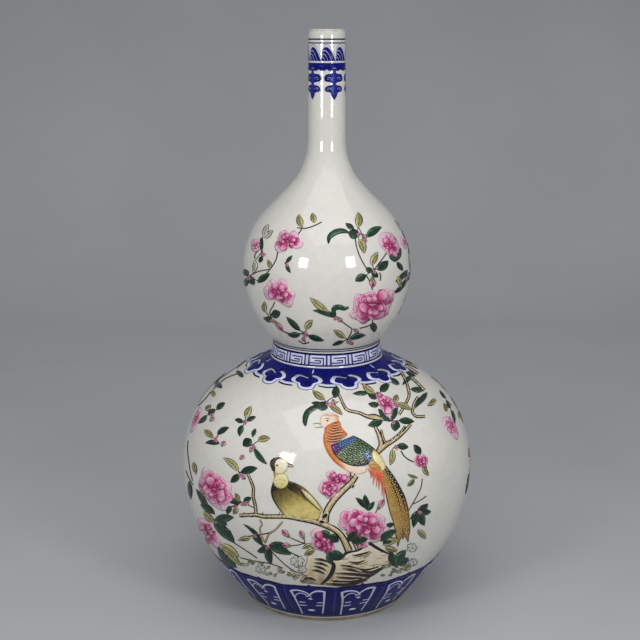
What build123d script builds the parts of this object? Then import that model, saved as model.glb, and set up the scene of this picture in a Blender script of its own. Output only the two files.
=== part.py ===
from build123d import *
import os

# Double gourd vase in porcelain: two bulbs, a pinched waist and a slender tubular neck.
# It is thrown and turned in eight sections, which are luted to one another with clay slip.
# Millimetres, +Z up, with the origin in the middle of the face that the foot rests on.

os.makedirs("parts", exist_ok=True)

# Foot and base
foot_radius = 45.8
foot_height = 8.0
foot_flare = 5.6
foot_face_width = 6.5
foot_edge_round = 1.5
base_thickness = 6.0
base_seat_width = 4.5

# Lower bulb
lower_belly_radius = 80.8
lower_bowl_height = 67.0
lower_shoulder_height = 63.3
lower_wall = 5.0
lower_bowl_slope = 53.0

# Waist, from the crease on the lower shoulder up to the pinch under the upper bulb
crease_radius = 30.6
crease_slope = 158.0
pinch_radius = 28.8
waist_height = 9.0
pinch_slope = 47.0
waist_hollow = 0.25
passage_radius = 24.0

# Upper bulb
upper_belly_radius = 45.4
upper_bowl_height = 39.9
upper_shoulder_height = 55.8
upper_wall = 4.0

# Neck and mouth
neck_base_radius = 12.75
neck_base_slope = 112.0
neck_radius = 9.8
neck_base_wall = 3.0
neck_bore_radius = 6.8
mouth_radius = 9.45
neck_length = 70.5

# Luting slip
slip_thickness = 0.6
slip_bead_radius = 1.4
neck_slip_bead_radius = 0.9

# Points of each outline between its two ends, as shares of the way out and of the way up
lower_bowl_shares = ((0.214, 0.119), (0.540, 0.334), (0.797, 0.563), (0.966, 0.831))
lower_shoulder_shares = ((0.036, 0.267), (0.143, 0.492), (0.360, 0.711), (0.560, 0.828), (0.780, 0.926))
upper_bowl_shares = ((0.330, 0.190), (0.695, 0.435), (0.915, 0.705))
upper_shoulder_shares = ((0.030, 0.174), (0.138, 0.364), (0.358, 0.554), (0.706, 0.760), (0.856, 0.858))
neck_shares = ((0.790, 0.105), (0.985, 0.210))
neck_straight_share = 0.350
inner_point_shares = (0.0, 0.1, 0.2, 0.35, 0.5, 0.65, 0.8, 0.9, 1.0)

foot_top_radius = foot_radius + foot_flare
foot_inner_radius = foot_radius - foot_face_width
floor_height = foot_height + base_thickness
base_radius = foot_inner_radius + base_seat_width
lower_belly_height = foot_height + lower_bowl_height
crease_height = lower_belly_height + lower_shoulder_height
pinch_height = crease_height + waist_height
upper_belly_height = pinch_height + upper_bowl_height
neck_base_height = upper_belly_height + upper_shoulder_height
overall_height = neck_base_height + neck_length
neck_straight_height = neck_base_height + neck_length * neck_straight_share
lip_round = (mouth_radius - neck_bore_radius) / 2
lip_height = overall_height - lip_round


def direction(slope):
    """Unit run of an outline at a slope in degrees, where 0 is outwards and 90 is upwards."""
    return Vector(1, 0).rotate(Axis.Z, slope)


def between(start, end, shares):
    """Points from start to end of an outline, given as shares of its way out and up."""
    return [
        (start[0] + (end[0] - start[0]) * out, start[1] + (end[1] - start[1]) * up)
        for out, up in shares
    ]


def inner_points(outline, first_wall, last_wall):
    """Points square to an outline on its inner side, at a wall that changes evenly along it."""
    points = []
    for share in inner_point_shares:
        wall = first_wall + (last_wall - first_wall) * share
        place, run = outline @ share, outline % share
        points.append((place.X - wall * run.Y, place.Y + wall * run.X))
    return points


def inner_outline(outline, first_wall, last_wall):
    """The inner face of the wall behind an outline."""
    return Spline(
        *inner_points(outline, first_wall, last_wall), tangents=(outline % 0, outline % 1)
    )


def chamber(first, second):
    """Closes two inner outlines, one above the other, on the axis of the vase."""
    Polyline(second @ 1, (0, (second @ 1).Y), (0, (first @ 0).Y), first @ 0)


# Outer outline, from the top of the foot to the mouth
foot_top = (foot_top_radius, foot_height)
lower_belly = (lower_belly_radius, lower_belly_height)
crease = (crease_radius, crease_height)
pinch = (pinch_radius, pinch_height)
upper_belly = (upper_belly_radius, upper_belly_height)
neck_base = (neck_base_radius, neck_base_height)
neck_straight = (neck_radius, neck_straight_height)
upwards = direction(90)

with BuildSketch(Plane.XZ) as wall_half:
    with BuildLine():
        lower_bowl_line = Spline(
            foot_top,
            *between(foot_top, lower_belly, lower_bowl_shares),
            lower_belly,
            tangents=(direction(lower_bowl_slope), upwards),
        )
        lower_shoulder_line = Spline(
            lower_belly,
            *between(lower_belly, crease, lower_shoulder_shares),
            crease,
            tangents=(upwards, direction(crease_slope)),
        )
        SagittaArc(crease, pinch, -waist_hollow)
        upper_bowl_line = Spline(
            pinch,
            *between(pinch, upper_belly, upper_bowl_shares),
            upper_belly,
            tangents=(direction(pinch_slope), upwards),
        )
        upper_shoulder_line = Spline(
            upper_belly,
            *between(upper_belly, neck_base, upper_shoulder_shares),
            neck_base,
            tangents=(upwards, direction(neck_base_slope)),
        )
        neck_line = Spline(
            neck_base,
            *between(neck_base, (neck_radius, overall_height), neck_shares),
            neck_straight,
            tangents=(direction(neck_base_slope), upwards),
        )
        Line(neck_straight, (mouth_radius, lip_height))
        ThreePointArc(
            (mouth_radius, lip_height),
            (mouth_radius - lip_round, overall_height),
            (neck_bore_radius, lip_height),
        )
        Polyline((neck_bore_radius, lip_height), (0, lip_height), (0, foot_height), foot_top)
    make_face()
    # Chamber of the lower bulb, above the floor
    with BuildSketch(mode=Mode.SUBTRACT):
        with BuildLine():
            lower_bowl_inside = inner_outline(lower_bowl_line, lower_wall, lower_wall)
            lower_shoulder_inside = inner_outline(lower_shoulder_line, lower_wall, lower_wall)
            chamber(lower_bowl_inside, lower_shoulder_inside)
        make_face()
        with Locations((0, floor_height)):
            Rectangle(lower_belly_radius, overall_height, align=Align.MIN, mode=Mode.INTERSECT)
    # Passage through the waist
    with Locations((0, lower_belly_height)):
        Rectangle(
            passage_radius,
            upper_belly_height - lower_belly_height,
            align=Align.MIN,
            mode=Mode.SUBTRACT,
        )
    # Chamber of the upper bulb
    with BuildLine():
        upper_bowl_inside = inner_outline(upper_bowl_line, upper_wall, upper_wall)
        upper_shoulder_inside = inner_outline(upper_shoulder_line, upper_wall, neck_base_wall)
        chamber(upper_bowl_inside, upper_shoulder_inside)
    make_face(mode=Mode.SUBTRACT)
    # Bore of the neck, up to the mouth
    with BuildLine():
        neck_inside = inner_outline(
            neck_line, neck_base_wall, neck_radius - neck_bore_radius
        )
        Polyline(
            neck_inside @ 1,
            (neck_bore_radius, lip_height),
            (0, lip_height),
            (0, (neck_inside @ 0).Y),
            neck_inside @ 0,
        )
    make_face(mode=Mode.SUBTRACT)
    # Opening at the bottom that the base disc closes
    with Locations((0, foot_height)):
        Rectangle(
            base_radius + slip_thickness, base_thickness, align=Align.MIN, mode=Mode.SUBTRACT
        )

with BuildSketch(Plane.XZ) as foot_half:
    with BuildLine():
        Polyline(
            (foot_inner_radius, 0),
            (foot_radius, 0),
            foot_top,
            (foot_inner_radius, foot_height),
            close=True,
        )
    make_face()
    fillet(foot_half.vertices().group_by(Axis.Y)[0], foot_edge_round)


def turned_section(half, bottom, top):
    """One turned section: the stretch of a half section between two heights, spun round."""
    with BuildPart() as section:
        with BuildSketch(Plane.XZ):
            add(half.sketch_local)
            with Locations((0, bottom)):
                Rectangle(
                    lower_belly_radius * 2, top - bottom, align=Align.MIN, mode=Mode.INTERSECT
                )
        revolve(axis=Axis.Z)
    return section


def slip_seam(half, height, bead_radius):
    """Slip between two sections, with the bead that is squeezed out on the inner face."""
    with BuildPart() as seam:
        with BuildSketch(Plane.XZ):
            with BuildSketch() as band:
                add(half.sketch_local)
                with Locations((0, height)):
                    Rectangle(
                        lower_belly_radius * 2,
                        slip_thickness,
                        align=(Align.MIN, Align.CENTER),
                        mode=Mode.INTERSECT,
                    )
            inner_edge = band.vertices().sort_by(Axis.X)[0]
            with BuildSketch():
                with Locations((inner_edge.X, height)):
                    Circle(bead_radius)
                add(half.sketch_local, mode=Mode.SUBTRACT)
        revolve(axis=Axis.Z)
    return seam


def between_seams(bottom, top):
    """A section's two heights, each half a slip seam short of the joint line."""
    return bottom + slip_thickness / 2, top - slip_thickness / 2


# Sections of the body
pieces = {
    "foot_ring": turned_section(foot_half, 0, foot_height - slip_thickness),
    "lower_bulb_bowl": turned_section(
        wall_half, foot_height, lower_belly_height - slip_thickness / 2
    ),
    "lower_bulb_shoulder": turned_section(
        wall_half, *between_seams(lower_belly_height, crease_height)
    ),
    "waist_collar": turned_section(wall_half, *between_seams(crease_height, pinch_height)),
    "upper_bulb_bowl": turned_section(wall_half, *between_seams(pinch_height, upper_belly_height)),
    "upper_bulb_shoulder": turned_section(
        wall_half, *between_seams(upper_belly_height, neck_base_height)
    ),
    "neck_tube": turned_section(
        wall_half, neck_base_height + slip_thickness / 2, overall_height
    ),
}

# Base disc, seated on the inner part of the foot ring
with BuildPart() as base_disc:
    with BuildSketch(Plane.XY.offset(foot_height)):
        Circle(base_radius)
    extrude(amount=base_thickness)
pieces["base_disc"] = base_disc

# Slip around the edge of the base disc
with BuildPart() as base_slip_ring:
    with BuildSketch(Plane.XY.offset(foot_height)):
        Circle(base_radius + slip_thickness)
        Circle(base_radius, mode=Mode.SUBTRACT)
    extrude(amount=base_thickness)
pieces["base_slip_ring"] = base_slip_ring

# Slip on top of the foot ring, and in the joints up the body
pieces["foot_slip_seam"] = turned_section(foot_half, foot_height - slip_thickness, foot_height)
seams = {
    "lower_belly_slip_seam": (lower_belly_height, slip_bead_radius),
    "lower_waist_slip_seam": (crease_height, slip_bead_radius),
    "upper_waist_slip_seam": (pinch_height, slip_bead_radius),
    "upper_belly_slip_seam": (upper_belly_height, slip_bead_radius),
    "neck_slip_seam": (neck_base_height, neck_slip_bead_radius),
}
for name, (height, bead_radius) in seams.items():
    pieces[name] = slip_seam(wall_half, height, bead_radius)

for name, piece in pieces.items():
    piece.part.label = name
    export_step(piece.part, f"parts/{name}.step")
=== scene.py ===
import math
import random

import bpy
import numpy as np
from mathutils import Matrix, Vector, geometry


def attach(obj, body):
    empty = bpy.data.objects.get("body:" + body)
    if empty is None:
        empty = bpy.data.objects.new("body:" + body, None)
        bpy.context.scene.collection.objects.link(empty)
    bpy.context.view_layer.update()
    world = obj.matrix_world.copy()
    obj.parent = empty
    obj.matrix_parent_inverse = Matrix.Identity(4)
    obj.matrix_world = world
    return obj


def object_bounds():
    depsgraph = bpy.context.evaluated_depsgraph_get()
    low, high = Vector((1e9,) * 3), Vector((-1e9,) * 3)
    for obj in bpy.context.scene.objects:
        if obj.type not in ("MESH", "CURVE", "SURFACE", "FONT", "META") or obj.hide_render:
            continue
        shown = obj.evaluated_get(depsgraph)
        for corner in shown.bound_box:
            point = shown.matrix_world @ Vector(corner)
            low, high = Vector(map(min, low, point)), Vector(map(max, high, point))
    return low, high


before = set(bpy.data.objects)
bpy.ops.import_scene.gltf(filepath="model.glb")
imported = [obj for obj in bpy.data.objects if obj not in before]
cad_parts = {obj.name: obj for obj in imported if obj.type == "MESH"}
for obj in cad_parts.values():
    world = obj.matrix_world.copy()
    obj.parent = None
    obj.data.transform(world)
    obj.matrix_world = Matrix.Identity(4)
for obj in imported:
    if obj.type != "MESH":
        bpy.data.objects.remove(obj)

cad_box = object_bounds()
MM = 0.001

# Camera, set at the photograph's distance, height and tilt
PHOTO_SIZE = 640.0
PHOTO_CENTRE = PHOTO_SIZE / 2
FOCAL_PX = 1195.0
SENSOR = 36.0
CAMERA_PLACE = (-3.6 * MM, -640.4 * MM, 313.5 * MM)
CAMERA_TILT = math.radians(13.678)

# Thickness of the glaze over the clay, and of each layer of paint over the glaze
GLAZE = 0.15 * MM
GLAZE_SUNK = 0.12 * MM
PAINT_SUNK = 0.05 * MM
FIRST_LAYER = 0.05 * MM
LAYER = 0.035 * MM

# Heights of the painted rings above the table, in millimetres
LIP_LINE = 308.5
SECOND_LINE = 306.6
PALE_LINE = 296.9
PENDANT_BAND = (293.3, 296.5)
WAIST_LINES = (148.9, 147.5)
KEY_BAND = (139.5, 146.0)
COLLAR_LINE = 138.9
LAPPET_FOOT = 4.0
LAPPET_TOP = 31.0
GLAZE_EDGE = 2.2


# The vase's outline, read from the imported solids
SHELL_NODES = ("foot_ring", "lower_bulb_bowl", "lower_bulb_shoulder", "waist_collar",
               "upper_bulb_bowl", "upper_bulb_shoulder", "neck_tube")


def outward_points(name):
    """The radius and height of each corner on the outer side of one node."""
    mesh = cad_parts[name].data
    mesh.calc_loop_triangles()
    places = np.empty(len(mesh.vertices) * 3)
    mesh.vertices.foreach_get("co", places)
    places = places.reshape(-1, 3)
    corners = np.empty(len(mesh.loop_triangles) * 3, dtype=np.int32)
    mesh.loop_triangles.foreach_get("vertices", corners)
    corners = corners.reshape(-1, 3)
    a, b, c = (places[corners[:, i]] for i in range(3))
    normals = np.cross(b - a, c - a)
    normals /= np.linalg.norm(normals, axis=1)[:, None] + 1e-12
    middle = (a + b + c) / 3
    outward = middle[:, :2] / (np.linalg.norm(middle[:, :2], axis=1)[:, None] + 1e-12)
    facing = (normals[:, :2] * outward).sum(axis=1) > 0.2
    used = np.unique(corners[facing])
    return np.stack([np.linalg.norm(places[used, :2], axis=1), places[used, 2]], axis=1)


def spline(points, step):
    """A smooth line through the points, with a point about every step."""
    points = np.asarray(points, float)
    ends = np.vstack([2 * points[0] - points[1], points, 2 * points[-1] - points[-2]])
    line = []
    for before, start, end, after in zip(ends, ends[1:], ends[2:], ends[3:]):
        count = max(1, int(math.ceil(np.linalg.norm(end - start) / step)))
        for t in np.arange(count) / count:
            line.append(0.5 * (2 * start + (end - before) * t
                               + (2 * before - 5 * start + 4 * end - after) * t ** 2
                               + (3 * start - before - 3 * end + after) * t ** 3))
    line.append(points[-1])
    return np.array(line)


def read_outline():
    rows = np.vstack([outward_points(name) for name in SHELL_NODES])
    rows = rows[np.argsort(rows[:, 1])]
    row_gap = 0.3 * MM
    kept = []
    start = 0
    for i in range(1, len(rows) + 1):
        if i == len(rows) or rows[i, 1] - rows[start, 1] > row_gap:
            group = rows[start:i]
            kept.append(group[np.argmax(group[:, 0])])
            start = i
    line = spline(kept, 0.25 * MM)
    lengths = np.r_[0, np.cumsum(np.linalg.norm(np.diff(line, axis=0), axis=1))]
    even = np.arange(0, lengths[-1], 0.5 * MM)
    line = np.stack([np.interp(even, lengths, line[:, i]) for i in range(2)], axis=1)
    reach = 4
    weights = np.exp(-0.5 * (np.arange(-reach, reach + 1) / 1.8) ** 2)
    weights /= weights.sum()
    padded = np.vstack([line[:1]] * reach + [line] + [line[-1:]] * reach)
    smooth = [np.convolve(padded[:, i], weights, mode="valid") for i in range(2)]
    return np.stack(smooth, axis=1)


outline = read_outline()
outline = outline[np.r_[True, np.diff(outline[:, 1]) > 0]]
outline_r, outline_z = outline[:, 0], outline[:, 1]
slope = np.gradient(outline, axis=0)
slope /= np.linalg.norm(slope, axis=1)[:, None]
normal_r, normal_z = slope[:, 1], -slope[:, 0]


def on_surface(turn, height, lift):
    """Points on the vase at these turns and heights, lifted off the clay."""
    radius = np.interp(height, outline_z, outline_r) + lift * np.interp(height, outline_z, normal_r)
    raised = height + lift * np.interp(height, outline_z, normal_z)
    return np.stack([radius * np.sin(turn), -radius * np.cos(turn), raised], axis=1)


def from_photo(points):
    """The turn and height on the vase of points of the photograph."""
    points = np.asarray(points, float)
    across = (points[:, 0] - PHOTO_CENTRE) / FOCAL_PX
    down = (points[:, 1] - PHOTO_CENTRE) / FOCAL_PX
    ray = np.stack([across,
                    math.cos(CAMERA_TILT) - down * math.sin(CAMERA_TILT),
                    -math.sin(CAMERA_TILT) - down * math.cos(CAMERA_TILT)], axis=1)
    origin = np.array(CAMERA_PLACE)

    def outside(far):
        place = origin + ray * far[:, None]
        return np.hypot(place[:, 0], place[:, 1]) - np.interp(place[:, 2], outline_z, outline_r) - GLAZE

    steps = np.arange(0.50, 0.76, 0.001)
    gaps = np.stack([outside(np.full(len(points), far)) for far in steps], axis=1)
    hit = (gaps < 0).any(axis=1)
    first = np.where(hit, np.argmax(gaps < 0, axis=1), np.argmin(gaps, axis=1))
    near = steps[np.maximum(first - 1, 0)]
    far = steps[first]
    for _ in range(14):
        middle = (near + far) / 2
        gap = outside(middle)
        near = np.where(hit & (gap > 0), middle, near)
        far = np.where(hit & (gap > 0), far, middle)
    place = origin + ray * far[:, None]
    return np.arctan2(place[:, 0], -place[:, 1]), np.clip(place[:, 2], outline_z[0], outline_z[-1])


def from_ring(points):
    """The turn and height of points given in degrees round the vase and millimetres up."""
    points = np.asarray(points, float)
    return np.radians(points[:, 0]), points[:, 1] * MM


def ring_points(points):
    """Points of the photograph in degrees round the vase and millimetres up."""
    turn, height = from_photo(points)
    return np.stack([np.degrees(turn), height / MM], axis=1)


# Shader pieces
PAINT_MOTTLE = 0.60
PAINT_ROUGHNESS = 0.16


def srgb(red, green, blue):
    parts = [value / 255 for value in (red, green, blue)]
    return tuple(p / 12.92 if p <= 0.04045 else ((p + 0.055) / 1.055) ** 2.4 for p in parts) + (1.0,)


def new_material(name):
    material = bpy.data.materials.new(name)
    material.use_nodes = True
    tree = material.node_tree
    shader = tree.nodes["Principled BSDF"]
    place = tree.nodes.new("ShaderNodeTexCoord")
    return material, tree, shader, place


def add_noise(tree, place, scale, detail=4.0, roughness=0.55):
    node = tree.nodes.new("ShaderNodeTexNoise")
    node.inputs["Scale"].default_value = scale
    node.inputs["Detail"].default_value = detail
    node.inputs["Roughness"].default_value = roughness
    tree.links.new(place.outputs["Object"], node.inputs["Vector"])
    return node.outputs["Fac"]


def add_math(tree, operation, first, second, third=None):
    node = tree.nodes.new("ShaderNodeMath")
    node.operation = operation
    for socket, value in zip(node.inputs, (first, second, third)):
        if value is None:
            continue
        if isinstance(value, (int, float)):
            socket.default_value = value
        else:
            tree.links.new(value, socket)
    return node.outputs[0]


def add_ramp(tree, factor, stops):
    node = tree.nodes.new("ShaderNodeValToRGB")
    ramp = node.color_ramp
    while len(ramp.elements) < len(stops):
        ramp.elements.new(0.5)
    for element, (position, colour) in zip(ramp.elements, stops):
        element.position = position
        element.color = colour
    tree.links.new(factor, node.inputs["Fac"])
    return node.outputs["Color"]


def add_mix(tree, factor, first, second, blend="MIX"):
    node = tree.nodes.new("ShaderNodeMix")
    node.data_type = "RGBA"
    node.blend_type = blend
    for socket, value in ((node.inputs[0], factor), (node.inputs[6], first), (node.inputs[7], second)):
        if isinstance(value, (int, float, tuple)):
            socket.default_value = value
        else:
            tree.links.new(value, socket)
    return node.outputs[2]


def add_bump(tree, height, strength, distance, shader):
    node = tree.nodes.new("ShaderNodeBump")
    node.inputs["Strength"].default_value = strength
    node.inputs["Distance"].default_value = distance
    tree.links.new(height, node.inputs["Height"])
    tree.links.new(node.outputs["Normal"], shader.inputs["Normal"])


def glaze_material():
    material, tree, shader, place = new_material("clear_glaze")
    broad = add_noise(tree, place, 22.0, 3.0)
    fine = add_noise(tree, place, 260.0, 5.0)
    tint = add_ramp(tree, broad, [(0.30, srgb(213, 210, 202)), (0.52, srgb(217, 214, 206)),
                                  (0.74, srgb(219, 214, 204))])
    cloud = add_ramp(tree, fine, [(0.30, srgb(249, 249, 247)), (0.62, srgb(255, 255, 255))])
    colour = add_mix(tree, 1.0, tint, cloud, "MULTIPLY")
    cells = tree.nodes.new("ShaderNodeTexVoronoi")
    cells.inputs["Scale"].default_value = 95.0
    tree.links.new(place.outputs["Object"], cells.inputs["Vector"])
    speck_size = add_math(tree, "MULTIPLY", add_noise(tree, place, 40.0), 0.085)
    speck = add_math(tree, "LESS_THAN", cells.outputs["Distance"],
                     add_math(tree, "SUBTRACT", speck_size, 0.012))
    colour = add_mix(tree, add_math(tree, "MULTIPLY", speck, 0.45), colour, srgb(150, 128, 100))
    tree.links.new(colour, shader.inputs["Base Color"])
    rough = add_math(tree, "MULTIPLY_ADD", fine, 0.05, 0.05)
    tree.links.new(rough, shader.inputs["Roughness"])
    shader.inputs["Coat Weight"].default_value = 0.35
    shader.inputs["Coat Roughness"].default_value = 0.04
    add_bump(tree, add_noise(tree, place, 90.0, 2.0), 0.10, 0.0004, shader)
    return material


def body_material(name, dark, pale, roughness, grain):
    """Bare fired clay with a fine grain and darker stains."""
    material, tree, shader, place = new_material(name)
    stains = add_noise(tree, place, 120.0, 6.0)
    tint = add_ramp(tree, stains, [(0.34, dark), (0.62, pale)])
    sand = add_noise(tree, place, grain, 4.0, 0.7)
    speckle = add_ramp(tree, sand, [(0.36, srgb(205, 200, 192)), (0.60, srgb(255, 255, 255))])
    tree.links.new(add_mix(tree, 1.0, tint, speckle, "MULTIPLY"), shader.inputs["Base Color"])
    tree.links.new(add_math(tree, "MULTIPLY_ADD", sand, 0.2, roughness), shader.inputs["Roughness"])
    add_bump(tree, sand, 0.35, 0.0003, shader)
    return material


def paint_material(name, deep, middle, pale, sheen):
    """Fired paint, deep where its shade value is 0 and pale where it is 1."""
    material, tree, shader, place = new_material(name)
    shade = tree.nodes.new("ShaderNodeAttribute")
    shade.attribute_name = "shade"
    cloud = add_noise(tree, place, 420.0, 3.0)
    streak = add_noise(tree, place, 1500.0, 2.0, 0.6)
    spread = add_math(tree, "ADD", add_math(tree, "MULTIPLY", cloud, 0.65),
                      add_math(tree, "MULTIPLY", streak, 0.35))
    spread = add_math(tree, "MULTIPLY", add_math(tree, "SUBTRACT", spread, 0.5), PAINT_MOTTLE)
    value = add_math(tree, "ADD", shade.outputs["Fac"], spread)
    colour = add_ramp(tree, value, [(0.05, deep), (0.50, middle), (0.95, pale)])
    tree.links.new(colour, shader.inputs["Base Color"])
    tree.links.new(add_math(tree, "MULTIPLY_ADD", cloud, 0.12, PAINT_ROUGHNESS), shader.inputs["Roughness"])
    shader.inputs["Specular IOR Level"].default_value = sheen
    add_bump(tree, streak, 0.12, 0.0002, shader)
    return material


# Each paint's deep, middle and pale colour
PAINT_SHADES = {
    "cobalt": ((5, 7, 62), (11, 18, 116), (50, 62, 162)),
    "cobalt_line": ((8, 9, 48), (14, 16, 80), (40, 44, 120)),
    "cobalt_wash": ((30, 40, 125), (66, 80, 160), (120, 130, 195)),
    "lavender": ((150, 152, 205), (192, 194, 226), (216, 218, 236)),
    "leaf_green": ((10, 36, 24), (26, 76, 50), (104, 146, 108)),
    "leaf_yellow": ((132, 124, 64), (188, 184, 124), (216, 212, 174)),
    "vein": ((12, 14, 9), (26, 26, 16), (60, 56, 34)),
    "brown_line": ((44, 26, 14), (78, 52, 28), (130, 98, 62)),
    "pink": ((128, 10, 66), (190, 62, 122), (228, 180, 202)),
    "pink_pale": ((196, 96, 146), (214, 148, 180), (216, 194, 200)),
    "pink_line": ((96, 12, 52), (138, 34, 84), (190, 104, 140)),
    "bark": ((134, 98, 54), (204, 178, 126), (222, 206, 168)),
    "rock": ((146, 116, 78), (218, 203, 172), (222, 217, 202)),
    "ink": ((14, 9, 6), (34, 22, 13), (74, 52, 32)),
    "orange": ((180, 88, 34), (214, 134, 70), (228, 204, 184)),
    "rust": ((96, 38, 12), (138, 62, 24), (186, 108, 58)),
    "blue_feather": ((18, 44, 96), (52, 100, 150), (112, 152, 188)),
    "green_feather": ((24, 62, 40), (92, 130, 88), (184, 200, 164)),
    "yellow_feather": ((150, 122, 48), (206, 190, 112), (222, 214, 170)),
    "olive_feather": ((34, 26, 12), (130, 112, 58), (212, 194, 116)),
    "tail_ochre": ((84, 50, 18), (170, 122, 50), (214, 178, 98)),
    "cream": ((190, 172, 128), (216, 204, 168), (222, 216, 194)),
    "plum": ((60, 22, 78), (100, 48, 118), (150, 100, 158)),
    "scarlet": ((150, 46, 26), (208, 92, 58), (228, 158, 122)),
    "grey_green": ((70, 82, 52), (118, 130, 88), (164, 172, 130)),
    "white_enamel": ((182, 180, 168), (210, 209, 200), (218, 218, 212)),
}
COBALT_SHEEN = 0.14
ENAMEL_SHEEN = 0.42
paints = {}
for paint_name, shades in PAINT_SHADES.items():
    gloss = COBALT_SHEEN if "cobalt" in paint_name else ENAMEL_SHEEN
    paints[paint_name] = paint_material(paint_name, *[srgb(*shade) for shade in shades], gloss)
glaze = glaze_material()


# Meshes
def new_piece(name, places, faces):
    mesh = bpy.data.meshes.new(name)
    mesh.from_pydata([tuple(p) for p in places], [], faces)
    piece = bpy.data.objects.new(name, mesh)
    bpy.context.scene.collection.objects.link(piece)
    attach(piece, "root")
    return piece


def grid_faces(along, across):
    faces = []
    for i in range(along - 1):
        for j in range(across - 1):
            a = i * across + j
            faces.append((a, a + 1, a + across + 1))
            faces.append((a, a + across + 1, a + across))
    return faces


def inside(outline_points, points):
    """Which points lie inside a closed outline."""
    x, y = points[:, 0], points[:, 1]
    within = np.zeros(len(points), bool)
    for (x0, y0), (x1, y1) in zip(outline_points, np.roll(outline_points, -1, axis=0)):
        if y0 == y1:
            continue
        crosses = (y0 > y) != (y1 > y)
        within ^= crosses & (x < (x1 - x0) * (y - y0) / (y1 - y0) + x0)
    return within


def closed_curve(points, step):
    """A smooth closed line through the points."""
    points = np.asarray(points, float)
    wrapped = np.vstack([points[-2:], points, points[:3]])
    line = []
    for before, start, end, after in zip(wrapped[1:], wrapped[2:-2], wrapped[3:-1], wrapped[4:]):
        count = max(1, int(math.ceil(np.linalg.norm(end - start) / step)))
        for t in np.arange(count) / count:
            line.append(0.5 * (2 * start + (end - before) * t
                               + (2 * before - 5 * start + 4 * end - after) * t ** 2
                               + (3 * start - before - 3 * end + after) * t ** 3))
    return np.array(line)


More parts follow.
